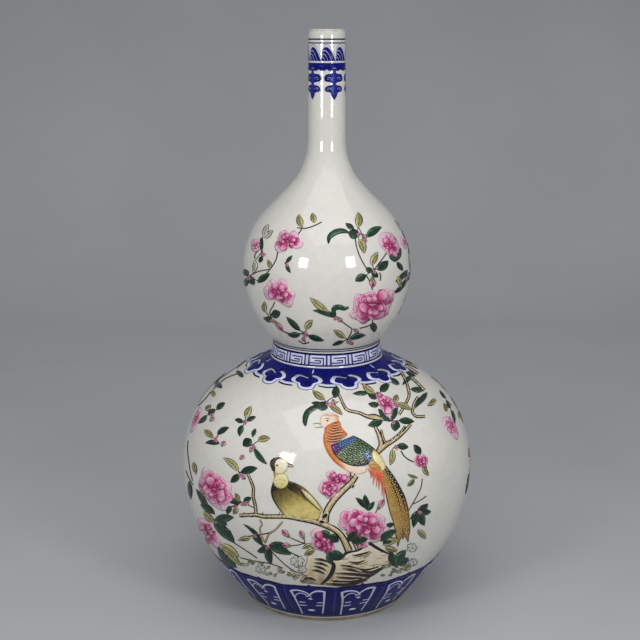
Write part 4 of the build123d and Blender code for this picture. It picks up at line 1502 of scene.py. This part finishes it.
def eye_ring(centre):
    return [(centre[0] + EYE_RADII[0] * math.cos(t), centre[1] + EYE_RADII[1] * math.sin(t))
            for t in np.arange(10) * math.pi / 5]


def build_cock_body():
    body = Painting("pheasant_breast")
    body.fill(grown(cock_breast, 1.012), "orange", 4,
              lambda p: np.clip(0.1 + (p[:, 0] - 330) / 30, 0.1, 0.8))
    body.fill(cock_breast, "orange", 5, lambda p: np.clip(0.34 + (p[:, 0] - 334) / 24, 0.34, 1.0),
              spacing=2.0)
    body.stroke(breast_shade, breast_shade_widths, "orange", 6, 0.12)
    body.stroke(belly_fold, [1.0, 1.2, 0.6], "orange", 5, 0.7)
    for toe in cock_toes:
        body.stroke(cock_leg + [toe], [1.1, 0.8, 0.5], "brown_line", 7, 0.5)
    body.build()
    head = Painting("pheasant_head")
    head.fill(grown(cock_head, 1.02), "orange", 4, 0.62)
    head.fill(cock_head, "orange", 5, lambda p: np.clip(1.0 - (p[:, 0] - 333) / 12 + 0.06 * np.sin(p[:, 1]),
                                                        0.40, 1.0),
              spacing=1.8)
    for mark in crown_marks:
        head.stroke(mark, [0.3, 0.7, 0.3], "orange", 6, 0.5)
    head.stroke(beak_top, [0.3, 0.6, 0.9], "grey_green", 5, 0.4)
    head.stroke(beak_low, [0.3, 0.6, 0.9], "grey_green", 5, 0.4)
    head.fill(beak, "cream", 4, 0.85, curved=False, spacing=1.6)
    ring = eye_ring(cock_eye)
    head.fill(ring, "cream", 6, 0.8, spacing=1.0)
    head.fill(grown(ring, 0.62), "ink", 7, 0.2, spacing=0.8)
    head.stroke(cock_brow, [0.3, 0.5, 0.3], "brown_line", 7, 0.4)
    head.build()
    cape = Painting("pheasant_cape")
    cape.fill(grown(cock_cape, 1.02), "rust", 6, 0.7)
    cape.fill(cock_cape, "orange", 7, lambda p: np.clip(0.30 + 0.08 * np.sin(p[:, 1] * 1.2), 0, 1),
              spacing=2.0)
    for bar in cape_bars:
        bar = np.asarray(bar)
        widths = [0.4] + [1.2 + 0.5 * (k % 2) for k in range(len(bar) - 2)] + [0.4]
        cape.stroke(bar, widths, "rust", 8, 0.12)
        cape.stroke(bar + (0.2, 1.0), np.array(widths) * 0.5, "orange", 8, 0.72)
    cape.build()


tuft_marks = ((366.5, 455.5), (369.0, 454.5), (368.5, 458.5), (371.0, 458.0), (370.0, 461.5))
rump_marks = ((371.0, 464.4), (374.5, 464.8), (377.8, 467.2), (372.0, 467.6), (375.4, 468.2))
WING_BARS = 13
SCALE_ROWS = 15
SCALES_IN_ROW = 9


def build_cock_wing():
    wing = Painting("pheasant_wing")
    panel(wing, wing_top, wing_low, (0, 1), "green_feather", 6, lambda u, v: 0.50 + 0.42 * v - 0.20 * u,
          (18, 8))
    panel(wing, wing_top, wing_low, (0, 0.20), "blue_feather", 7, lambda u, v: 0.45, (6, 8), (-0.02, 0.72))
    panel(wing, wing_top, wing_low, (0, 0.22), "plum", 7, lambda u, v: 0.35, (6, 4), (0.70, 1.0))
    wing.stroke(wing_top, 0.9, "vein", 9, 0.5)
    wing.stroke(wing_low, 0.6, "vein", 9, 0.6)
    wing.fill(blue_tuft, "blue_feather", 9, lambda p: 0.75 + 0 * p[:, 0], spacing=2.0)
    for x, y in tuft_marks:
        wing.stroke([(x - 1.2, y - 0.8), (x, y + 0.7), (x + 1.3, y - 0.4)], 0.6, "blue_feather", 10, 0.05)
    wing.build()
    bars = Painting("pheasant_wing_bars")
    for k in range(WING_BARS):
        v = (k + 0.7) / 13.4
        path = [between(wing_top, wing_low, u, min(v + 0.05 * math.sin(3 * u), 0.98))
                for u in np.linspace(0.22, 0.94, 10)]
        bars.stroke(path, [0.3] + [0.75] * 8 + [0.3], "vein", 8, 0.75, step=2.0)
    bars.build()
    scales = Painting("pheasant_scales")
    for i in range(SCALE_ROWS):
        for j in range(SCALES_IN_ROW):
            u = (i + 0.4) / SCALE_ROWS
            v = (j + 0.5 + 0.5 * (i % 2)) / 9.5
            if v > 0.99:
                continue
            first = between(wing_top, wing_low, max(u - 0.035, 0), v - 0.04)
            middle = between(wing_top, wing_low, min(u + 0.015, 1), v)
            last = between(wing_top, wing_low, max(u - 0.035, 0), v + 0.04)
            dark = "plum" if u < 0.22 and v > 0.7 else ("blue_feather" if u < 0.2 else "vein")
            pale = "lavender" if u < 0.22 else "green_feather"
            scales.stroke([first, middle, last], [0.45, 0.75, 0.45], dark, 9,
                          0.05 if dark != "vein" else 0.55, step=1.0)
            heart = between(wing_top, wing_low, max(u - 0.022, 0), v)
            scales.stroke([first * 0.4 + heart * 0.6, heart], [0.4, 0.5 + 0.3 * v], pale, 9, 0.95, step=1.0)
    scales.build()
    rump = Painting("pheasant_rump")
    rump.fill(grown(cock_rump, 1.04), "brown_line", 9, 0.6)
    rump.fill(cock_rump, "yellow_feather", 10, lambda p: np.clip(0.4 + (p[:, 1] - 450) / 40, 0, 1),
              spacing=2.0)
    rump.fill(rump_patch, "tail_ochre", 11, 0.6, spacing=2.0)
    for x, y in rump_marks:
        rump.stroke([(x - 1.4, y - 0.6), (x, y + 0.8), (x + 1.4, y - 0.4)], 0.55, "scarlet", 12, 0.15)
    rump.fill(plume_root, "scarlet", 9, lambda p: np.clip(0.85 - (p[:, 1] - 468) / 20, 0.2, 0.9),
              spacing=2.0)
    for i, tip in enumerate(plume_tips):
        start = (369.5 + i * 2.4, 470.5 + i * 0.6)
        middle = ((start[0] + tip[0]) / 2 + 1.2, (start[1] + tip[1]) / 2)
        rump.stroke([start, middle, tip], [1.8, 1.4, 0.3], "scarlet", 10, 0.5 + 0.06 * (i % 3))
    rump.build()


# The two points of the tail: its side, as a share of the tail's width, and its tip
tail_tips = ((0.0, (397.6, 546.4)), (1.0, (407.9, 541.8)))
# The dark lines along the tail: place across it and width
tail_lines = ((0.86, 2.6), (0.60, 1.0), (1.0, 1.0))
TAIL_BODY = (0, 0.93)
TAIL_FORK = 0.86
SPOT_ROWS = 31
SPOTS_IN_ROW = 4


def build_cock_tail():
    tail = Painting("pheasant_tail")
    panel(tail, tail_left, tail_right, TAIL_BODY, "brown_line", 5, lambda u, v: 0.3, (30, 4), (-0.05, 1.05))
    panel(tail, tail_left, tail_right, TAIL_BODY, "tail_ochre", 6, lambda u, v: 0.62 - 0.30 * v + 0.1 * u,
          (30, 6))
    for side, tip in tail_tips:
        root_left = between(tail_left, tail_right, TAIL_FORK, side * 0.52)
        root_right = between(tail_left, tail_right, TAIL_FORK, side * 0.52 + 0.46)
        tail.fill([root_left, root_right, tip], "tail_ochre", 7, 0.5, curved=False, spacing=2.0)
        tail.stroke([root_left, tip, root_right], 0.5, "brown_line", 8, 0.3, curved=False)
    tail.stroke([between(tail_left, tail_right, u, 0.5) for u in np.linspace(0.80, 0.95, 5)], 0.7, "ink", 8,
                0.4)
    for edge, width in tail_lines:
        path = [between(tail_left, tail_right, u, edge) for u in np.linspace(0.02, 0.62, 10)]
        tail.stroke(path, [width] * 7 + [width * 0.7, width * 0.4, 0.3], "ink", 8, 0.3)
    tail.build()
    spots = Painting("pheasant_tail_spots")
    rng = random.Random(17)
    for i in range(SPOT_ROWS):
        for j in range(SPOTS_IN_ROW):
            u = 0.03 + i * 0.029
            v = (j + 0.5 + 0.5 * (i % 2)) / 4.5
            if v > 0.97:
                continue
            place = between(tail_left, tail_right, u, v) + (rng.uniform(-0.4, 0.4), rng.uniform(-0.5, 0.5))
            wide = (1.5 if u > 0.3 else 1.1) * rng.uniform(0.75, 1.3)
            spots.stroke([place - (0.5, 0.9), place, place + (0.5, 0.9)], [0.5, wide, 0.5], "ink", 9, 0.75,
                         step=0.8)
            spots.stroke([place - (0.35, 0.6), place, place + (0.35, 0.6)], [0.3, wide * 0.62, 0.3],
                         "yellow_feather", 10,
                         rng.uniform(0.55, 0.95), step=0.8)
    spots.build()


# The hen pheasant
hen_body = [(274.4, 480.5), (272.6, 484.5), (271.3, 490), (271.8, 495.5), (274.4, 501.6), (278.5, 508.0),
            (284.0, 514.6),
            (292.0, 516.6), (306, 518.6), (317.4, 519.2), (320.6, 512.6), (322.3, 508.6), (316.2, 500.2),
            (310.1, 493.4),
            (303.5, 487.3), (295.8, 483.3), (288.9, 481.0), (284.0, 478.5), (278.5, 478.0)]
hen_shoulder = [(288.6, 481.6), (295.8, 483.6), (302.0, 487.0), (305.0, 491.2), (306.4, 496.4),
                (309.6, 501.0),
                (304.6, 500.0), (299.0, 495.2), (293.0, 491.6), (287.4, 487.4)]
hen_bib = [(281 + 7.2 * math.cos(t), 481.5 + 7.0 * math.sin(t)) for t in np.arange(14) * math.pi / 7]
hen_neck = [(273.0, 468.0), (274.0, 473.0), (274.6, 479.0), (274.2, 482.0), (281.0, 484.5), (287.6, 481.5),
            (287.4, 477.0),
            (284.0, 473.0), (286.5, 470.5), (280.0, 466.0)]
hen_head = [(270.6, 464.2), (271.6, 460.6), (274.6, 458.3), (278.8, 457.6), (283.0, 458.6), (286.6, 461.0),
            (288.2, 464.4),
            (287.4, 468.2), (284.8, 471.8), (280.8, 473.6), (276.2, 473.2), (272.6, 470.2)]
hen_hood = [(270.4, 464.4), (271.2, 460.6), (274.0, 458.2), (278.4, 457.4), (282.0, 458.0), (277.4, 460.0),
            (275.2, 463.5),
            (275.6, 467.5), (274.8, 472.0), (272.0, 469.0)]
hen_wing_line = [(295.0, 485.6), (299.9, 489.9), (304.5, 496.5), (311.1, 502.9), (319.8, 510.6)]
hen_wing_strip = [(301.0, 488.4), (306.0, 491.2), (312.4, 497.6), (318.6, 504.8), (321.8, 509.4),
                  (318.0, 508.2),
                  (311.6, 501.8), (305.4, 495.6)]


hen_back_shade = [(273.2, 484.0), (272.0, 491.0), (273.4, 498.5), (277.5, 505.6), (283.0, 512.6)]
hen_wing_edge = [(301.0, 488.2), (308.0, 492.8), (315.5, 500.4), (321.8, 509.2)]
bib_marks = ((276.5, 480.5), (280.5, 479.6), (284.5, 480.6), (278.0, 483.8), (282.5, 484.0), (280.5, 487.2))
cheek_marks = ((280.5, 461.5), (283.5, 463.5), (281.0, 468.5), (284.0, 469.5))
hen_beak_top = [(287.4, 463.4), (290.6, 464.4), (294.0, 466.6)]
hen_beak_low = [(287.6, 466.2), (290.4, 466.8), (293.0, 467.2)]
hen_eye = (277.4, 465.4)
HEN_FEATHERS = 70


def hen_tone(points):
    top = (points[:, 1] - 482) / 30
    left = (points[:, 0] - 271) / 26
    return np.clip(0.05 + 0.80 * top + 0.18 * np.clip(left, 0, 1) - 0.25 * np.clip(1 - left, 0, 1), 0.02,
                   0.9)


def build_hen():
    body = Painting("hen_body")
    body.fill(grown(hen_body, 1.014), "brown_line", 3, 0.35)
    body.fill(hen_body, "olive_feather", 4, hen_tone, spacing=1.8)
    body.stroke(hen_back_shade, [0.6, 1.4, 1.6, 1.2, 0.5], "olive_feather", 5, 0.06)
    body.fill(hen_shoulder, "olive_feather", 5,
              lambda p: np.clip((p[:, 0] - 292) / 60 + (p[:, 1] - 486) / 50, 0.0, 0.6),
              spacing=1.6)
    body.fill(hen_wing_strip, "yellow_feather", 6, 0.75, spacing=1.8)
    body.stroke(hen_wing_line, [0.6, 2.2, 1.6, 1.1, 0.8], "ink", 7, 0.6)
    body.stroke(hen_wing_edge, 0.6, "brown_line", 7, 0.4)
    rng = random.Random(5)
    for _ in range(HEN_FEATHERS):
        x, y = rng.uniform(276, 318), rng.uniform(484, 516)
        if inside(np.asarray(hen_body), np.array([(x, y), (x + 2.2, y + 2.0)])).all():
            body.stroke([(x, y), (x + 1.1, y + 1.3), (x + 2.2, y + 2.0)], [0.2, 0.45, 0.2], "olive_feather",
                        5,
                        float(np.clip(hen_tone(np.array([(x, y)]))[0] - 0.16, 0, 1)))
    body.build()
    head = Painting("hen_head")
    head.fill(grown(hen_neck, 1.04), "brown_line", 5, 0.5)
    head.fill(hen_neck, "olive_feather", 6, lambda p: np.clip(0.60 + (p[:, 0] - 274) / 14, 0, 1.0),
              spacing=2.0)
    head.fill(grown(hen_bib, 1.04), "olive_feather", 7,
              lambda p: np.clip(1.0 - (p[:, 1] - 480) / 8, 0.3, 1.0))
    head.fill(hen_bib, "yellow_feather", 8, lambda p: np.clip(0.95 - (p[:, 1] - 474) / 34, 0, 0.95),
              spacing=2.0)
    for x, y in bib_marks:
        head.stroke([(x - 1.4, y - 0.6), (x, y + 0.7), (x + 1.4, y - 0.6)], [0.25, 0.45, 0.25],
                    "olive_feather", 9, 0.55)
    head.fill(grown(hen_head, 1.02), "olive_feather", 9, lambda p: np.clip((p[:, 0] - 274) / 12, 0.2, 1.0))
    head.fill(hen_head, "cream", 10, lambda p: np.clip(0.25 + (p[:, 0] - 272) / 20, 0, 1), spacing=2.0)
    head.fill(hen_hood, "ink", 11, 0.45, spacing=1.6)
    head.stroke(hen_beak_top, [1.6, 1.1, 0.3], "brown_line", 10, 0.6)
    head.stroke(hen_beak_low, [1.2, 0.8, 0.3], "brown_line", 10, 0.75)
    ring = eye_ring(hen_eye)
    head.fill(ring, "yellow_feather", 12, 0.7, spacing=1.0)
    head.fill(grown(ring, 0.6), "ink", 13, 0.1, spacing=0.8)
    for x, y in cheek_marks:
        head.stroke([(x - 1.0, y - 0.4), (x, y + 0.5), (x + 1.0, y - 0.4)], [0.2, 0.4, 0.2],
                    "olive_feather", 11, 0.8)
    head.build()


# Sprays of the upper bulb
upper_left_flower = [(280.8, 232.6), (285.9, 230.5), (289.4, 233.6), (293.5, 231), (298.1, 234.6),
                     (297.6, 239.7),
                     (302.7, 242.8), (301.2, 246.8), (296.1, 248.9), (289.4, 246.8), (286.4, 249.4),
                     (279.8, 252.4),
                     (276.7, 250.9), (275.2, 244.8), (277.7, 240.7), (278.8, 236.7)]
lower_left_flower = [(267, 285.2), (271.7, 279.6), (276.3, 282.4), (281.8, 278.7), (286.5, 282.4),
                     (286.5, 288.9),
                     (294.8, 293.5), (292.9, 299.1), (292, 304.6), (288.3, 306.9), (280.9, 302.8),
                     (276.3, 300.1),
                     (269, 299.6), (265.2, 295.4), (264.3, 288.9)]
right_flower = [(379.5, 236.5), (384.0, 233.0), (390.0, 233.5), (395.0, 238.0), (398.5, 245.5),
                (400.0, 253.5),
                (396.0, 259.5), (390.5, 256.5), (384.5, 250.5), (379.6, 244.0)]
upper_peony = [(355.8, 294.4), (362.3, 294.4), (370.6, 291.7), (378, 292.6), (385.4, 288.9), (393.8, 291.7),
               (391.9, 298.1),
               (391, 303.7), (387.3, 312), (382.7, 317.6), (374.3, 319.4), (366, 318.5), (357.7, 319.4),
               (352.1, 317.5),
               (349.4, 313.4), (353.1, 309.2), (354, 301.8)]
pale_left_flower = [(251.5, 243.0), (254.5, 239.5), (259.5, 240.5), (260.5, 246.0), (257.5, 251.0),
                    (252.5, 250.5)]
upper_leaves_left = [
    ("dark", (286, 263), (292, 256), 3), ("dark", (286.4, 264), (290.5, 272.3), 3),
                     ("dark", (259.5, 262.5), (262.5, 256.5), 3.4),
    ("open", (254.8, 260), (253, 272.9), 4.5), ("dark", (257.8, 282.6), (269.6, 273.9), 6),
    ("dark", (248.0, 276.0), (244.5, 269.5), 5), ("dark", (248.5, 276.5), (254.0, 284.5), 6),
    ("dark", (247.5, 277.5), (246.0, 286.0), 4.5), ("dark", (262.0, 251.0), (262.5, 237.5), 4),
    ("open", (264.5, 238.0), (268.5, 225.0), 5), ("open", (266.0, 239.0), (273.0, 231.0), 4),
    ("yellow", (302.2, 227), (299.1, 215.2), 6), ("yellow", (314.5, 223), (312.4, 213.7), 5.4),
    ("yellow", (265.5, 312), (265, 302), 4.5), ("dark", (273.5, 321), (264, 318), 5),
    ("yellow", (270.5, 268.5), (268.0, 260.5), 3.6)]
upper_leaves_right = [
    ("yellow", (357.7, 227.5), (357.7, 213.1), 7), ("dark", (354, 229), (346.1, 223.8), 4.5),
    ("dark", (366.5, 237.4), (381.2, 227.5), 7), ("yellow", (358.7, 239.5), (363.9, 253.1), 6.5),
    ("yellow", (371.3, 265.1), (377.5, 252.6), 6), ("dark", (377.5, 269.9), (387.5, 261), 7.5),
    ("dark", (366, 275.1), (355.6, 280.8), 7), ("dark", (372.0, 272.0), (366.5, 268.0), 5),
    ("dark", (371.5, 272.5), (377.5, 277.0), 5), ("dark", (395.5, 262.0), (389.0, 250.5), 6),
    ("dark", (396.5, 261.0), (400.5, 248.5), 6), ("dark", (397.0, 262.0), (402.5, 270.5), 4),
    ("yellow", (398.0, 276.0), (401.0, 287.0), 4)]
upper_leaves_low = [
    ("dark", (300.3, 330.5), (286.9, 317.1), 5), ("yellow", (305.9, 329.6), (312.4, 320.3), 6),
    ("dark", (300.3, 334.2), (288.3, 334.2), 5), ("dark", (307.7, 335.1), (323.5, 340.2), 5),
    ("yellow", (328.1, 311.1), (310.5, 297.7), 6), ("dark", (334.6, 317.6), (313.3, 310.6), 4.5),
    ("yellow", (345.2, 337.9), (334.1, 330), 5), ("dark", (349.4, 338.8), (365.1, 335.1), 5),
    ("dark", (343.8, 341), (332.7, 345), 3.4), ("dark", (369.7, 320), (360.5, 319), 5),
    ("dark", (372.5, 322.2), (374.3, 331.4), 6), ("open", (375.0, 318.5), (383.6, 315.0), 5)]
upper_stems = [[(297.1, 228), (305.8, 228.5), (314.0, 226.0), (321.6, 222.3)],
               [(302.2, 227), (301.0, 230.5), (298.0, 234.5)],
               [(259.3, 250), (255.3, 254), (254.8, 258.6)],
               [(277.7, 252.0), (276.0, 260.0), (270.1, 269.3), (262.0, 278.5)],
               [(270.1, 269.3), (258.5, 271.5), (249.5, 276.0)],
               [(274.9, 301.8), (272.5, 307.0), (269.8, 312), (272.0, 319.0)],
               [(277.5, 327.0), (283.0, 331.0), (290.0, 333.3), (301.0, 333.4)],
               [(366.0, 268.0), (360.5, 258.0), (356.5, 247.0), (355.0, 236.0)],
               [(386.9, 252), (384.5, 256.0), (379.5, 262.5), (374.0, 270.0)],
               [(379.6, 272.5), (380.6, 276.5), (380.1, 280.8)],
               [(328.1, 311), (332.0, 313.0), (335.5, 315.7), (343.0, 322.2), (352.1, 328.7)],
               [(372.5, 309), (372.6, 315.5), (372.5, 322.0)],
               [(359.5, 328.2), (367.9, 325.9), (372.0, 323.5)],
               [(352.1, 328.7), (350.5, 334.0), (347.5, 339.0)],
               [(366.0, 275.0), (370.0, 282.0), (372.5, 290.0)],
               [(304.0, 338.0), (305.5, 343.0)], [(298.5, 340.5), (304.0, 343.5), (309.5, 342.0)]]
curved_right_leaf = [(348.2, 232.7), (344.5, 231.4), (340.9, 231.1), (336.5, 232.0), (333.1, 233.8),
                     (330.4, 236.0),
                     (328.9, 238.8), (328.4, 243.7)]
curved_right_widths = [1.5, 3.6, 4.6, 5.0, 5.0, 4.6, 3.4, 0.6]
curled_low_leaf = [(335.5, 314.8), (333.6, 311.0), (335.0, 307.6), (339.5, 307.0), (344.0, 308.4),
                   (348.6, 307.2)]
curled_low_widths = [1.5, 4.0, 4.6, 4.4, 3.6, 1.2]
upper_buds = [((273.5, 319.4), (282.8, 330.5), 4.5), ((362.0, 236.0), (366.0, 240.5), 4.5),
              ((372.0, 276.5), (373.0, 287.0), 6.5),
              ((337.0, 317.0), (342.0, 321.5), 4.5), ((353.5, 328.5), (358.5, 332.5), 4.5),
              ((348.5, 340.0), (353.0, 344.0), 4.5),
              ((302.0, 331.5), (307.5, 335.5), 5.0), ((303.5, 336.5), (303.0, 341.0), 3.5)]


upper_rounds_left = [("dark", (275.4, 313), 4.5)]
upper_rounds_right = [("dark", (353.7, 234), 5.2)]
upper_hubs_left = [(285.6, 263.4), (248.2, 276.6), (262.2, 252.0), (270.8, 318.8)]
upper_hubs_right = [(357.4, 233.4), (363.6, 238.6), (373.6, 270.4)]
upper_hubs_low = [(303.8, 333.0), (334.2, 316.4), (347.2, 339.2)]


# Each flower of the upper bulb, in the same order of values
UPPER_FLOWERS = (
    ("upper_left_flower", upper_left_flower, (288.0, 241.5), PETAL_RINGS[1:], 0.05),
    ("lower_left_flower", lower_left_flower, (279.5, 292.5), PETAL_RINGS[1:], 0.0),
    ("upper_right_flower", right_flower, (390.0, 246.0), PETAL_RINGS[2:], 0.05),
    ("upper_peony", upper_peony, (372.5, 304.5), PETAL_RINGS, 0.0),
    ("pale_left_flower", pale_left_flower, (256.0, 245.5), small_rings[1:], -0.35))


def build_upper_sprays():
    paint_leaves("upper_leaves_left", upper_leaves_left, 61, upper_rounds_left, hubs=upper_hubs_left,
                 hands=UPPER_SIDES)
    paint_leaves("upper_leaves_right", upper_leaves_right, 62, upper_rounds_right, hubs=upper_hubs_right)
    paint_leaves("upper_leaves_low", upper_leaves_low, 63, hubs=upper_hubs_low)
    for hand in UPPER_SIDES:
        for seed, (name, edge, core, rings, depth) in enumerate(UPPER_FLOWERS):
            if hand in HANDS or name in SIDE_FLOWERS:
                painting = copy_of(name, hand)
                paint_flower(painting, edge, core, 80 + seed, 3, rings, depth)
                painting.build()
    for hand in HANDS:
        stems = copy_of("upper_stems", hand)
        for path in upper_stems:
            paint_twig(stems, path, 0.75)
        paint_ribbon_leaf(stems, curved_right_leaf, curved_right_widths, 0.3, 0.4)
        paint_ribbon_leaf(stems, curled_low_leaf, curled_low_widths, 0.3, 0.4)
        stems.build()
        painting = copy_of("upper_buds", hand)
        for base, tip, width in upper_buds:
            paint_bud(painting, base, tip, width)
        painting.build()


build_boughs()
build_lower_leaves()
build_lower_flowers()
build_rock()
build_small_plants()
build_cock_body()
build_cock_wing()
build_cock_tail()
build_hen()
build_upper_sprays()


# The clay under the glaze
# Each kind of clay: its dark and pale colour, its roughness and the scale of its grain
CLAYS = {
    "porcelain_body": (srgb(196, 192, 182), srgb(214, 211, 203), 0.45, 900.0),
    "biscuit_rim": (srgb(146, 124, 98), srgb(200, 184, 158), 0.70, 1400.0),
    "slip_seam": (srgb(186, 180, 168), srgb(206, 201, 190), 0.60, 1100.0),
}


def dress_nodes():
    looks = {name: body_material(name, *clay) for name, clay in CLAYS.items()}
    for name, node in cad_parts.items():
        if name == "foot_ring":
            look = looks["biscuit_rim"]
        elif "slip" in name:
            look = looks["slip_seam"]
        else:
            look = looks["porcelain_body"]
        node.data.materials.clear()
        node.data.materials.append(look)


dress_nodes()


# Floor, backdrop, lights and camera
FLOOR_SIZE = 2.4
BACKDROP_BEND = 0.35
BACKDROP_BEHIND = 0.62
BACKDROP_TOP = 1.9
PAPER_DARK = srgb(176, 177, 178)
PAPER_PALE = srgb(180, 181, 182)

# Each window: name, side of the camera and distance in metres
WINDOWS = (("left_window", -1, 0.40), ("right_window", 1, 0.38))
WINDOW_TURN = math.radians(31.0)
WINDOW_HEIGHT = 0.285
WINDOW_TARGET = (0, 0, 0.16)
WINDOW_SIZE = 0.080
WINDOW_POWER = 0.42
OVERHEAD_PLACE = (0.1, -0.5, 1.5)
OVERHEAD_TARGET = (0, 0, 0.1)
OVERHEAD_SIZE = 1.5
OVERHEAD_POWER = 7.0
AIR_COLOUR = srgb(232, 236, 242)
AIR_STRENGTH = 0.50


def plain_material(name, dark, pale, scale, roughness):
    material, tree, shader, place = new_material(name)
    colour = add_ramp(tree, add_noise(tree, place, scale, 3.0), [(0.35, dark), (0.65, pale)])
    tree.links.new(colour, shader.inputs["Base Color"])
    shader.inputs["Roughness"].default_value = roughness
    return material


def build_stage():
    bend = [(BACKDROP_BEHIND + BACKDROP_BEND * math.sin(t), BACKDROP_BEND * (1 - math.cos(t)))
            for t in np.linspace(0, math.pi / 2, 25)]
    line = [(-FLOOR_SIZE, 0.0)] + bend + [(BACKDROP_BEHIND + BACKDROP_BEND, BACKDROP_TOP)]
    places = [(x, y, z) for y, z in line for x in (-FLOOR_SIZE, FLOOR_SIZE)]
    faces = [(2 * i, 2 * i + 1, 2 * i + 3, 2 * i + 2) for i in range(len(line) - 1)]
    mesh = bpy.data.meshes.new("studio_floor")
    mesh.from_pydata(places, [], faces)
    mesh.polygons.foreach_set("use_smooth", [True] * len(faces))
    floor = bpy.data.objects.new("studio_floor", mesh)
    bpy.context.scene.collection.objects.link(floor)
    mesh.materials.append(plain_material("studio_paper", PAPER_DARK, PAPER_PALE, 6.0, 0.85))


def soft_light(name, place, target, size, power):
    lamp = bpy.data.lights.new(name, "AREA")
    lamp.shape = "SQUARE"
    lamp.size = size
    lamp.energy = power
    light = bpy.data.objects.new(name, lamp)
    bpy.context.scene.collection.objects.link(light)
    light.location = place
    light.rotation_euler = (Vector(target) - Vector(place)).to_track_quat("-Z", "Y").to_euler()


def build_lights():
    for name, side, far in WINDOWS:
        turn = WINDOW_TURN * side
        place = (far * math.sin(turn), -far * math.cos(turn), WINDOW_HEIGHT)
        soft_light(name, place, WINDOW_TARGET, WINDOW_SIZE, WINDOW_POWER)
    soft_light("overhead", OVERHEAD_PLACE, OVERHEAD_TARGET, OVERHEAD_SIZE, OVERHEAD_POWER)
    world = bpy.context.scene.world or bpy.data.worlds.new("studio_air")
    bpy.context.scene.world = world
    world.use_nodes = True
    air = world.node_tree.nodes["Background"]
    air.inputs["Color"].default_value = AIR_COLOUR
    air.inputs["Strength"].default_value = AIR_STRENGTH


def build_camera():
    lens = bpy.data.cameras.new("photo_camera")
    lens.sensor_width = SENSOR
    lens.lens = SENSOR * FOCAL_PX / PHOTO_SIZE
    lens.clip_start = 0.01
    camera = bpy.data.objects.new("photo_camera", lens)
    bpy.context.scene.collection.objects.link(camera)
    camera.location = CAMERA_PLACE
    camera.rotation_euler = (math.pi / 2 - CAMERA_TILT, 0, 0)
    bpy.context.scene.camera = camera


build_stage()
build_lights()
build_camera()
bpy.context.scene.view_settings.view_transform = "Standard"
bpy.context.view_layer.update()
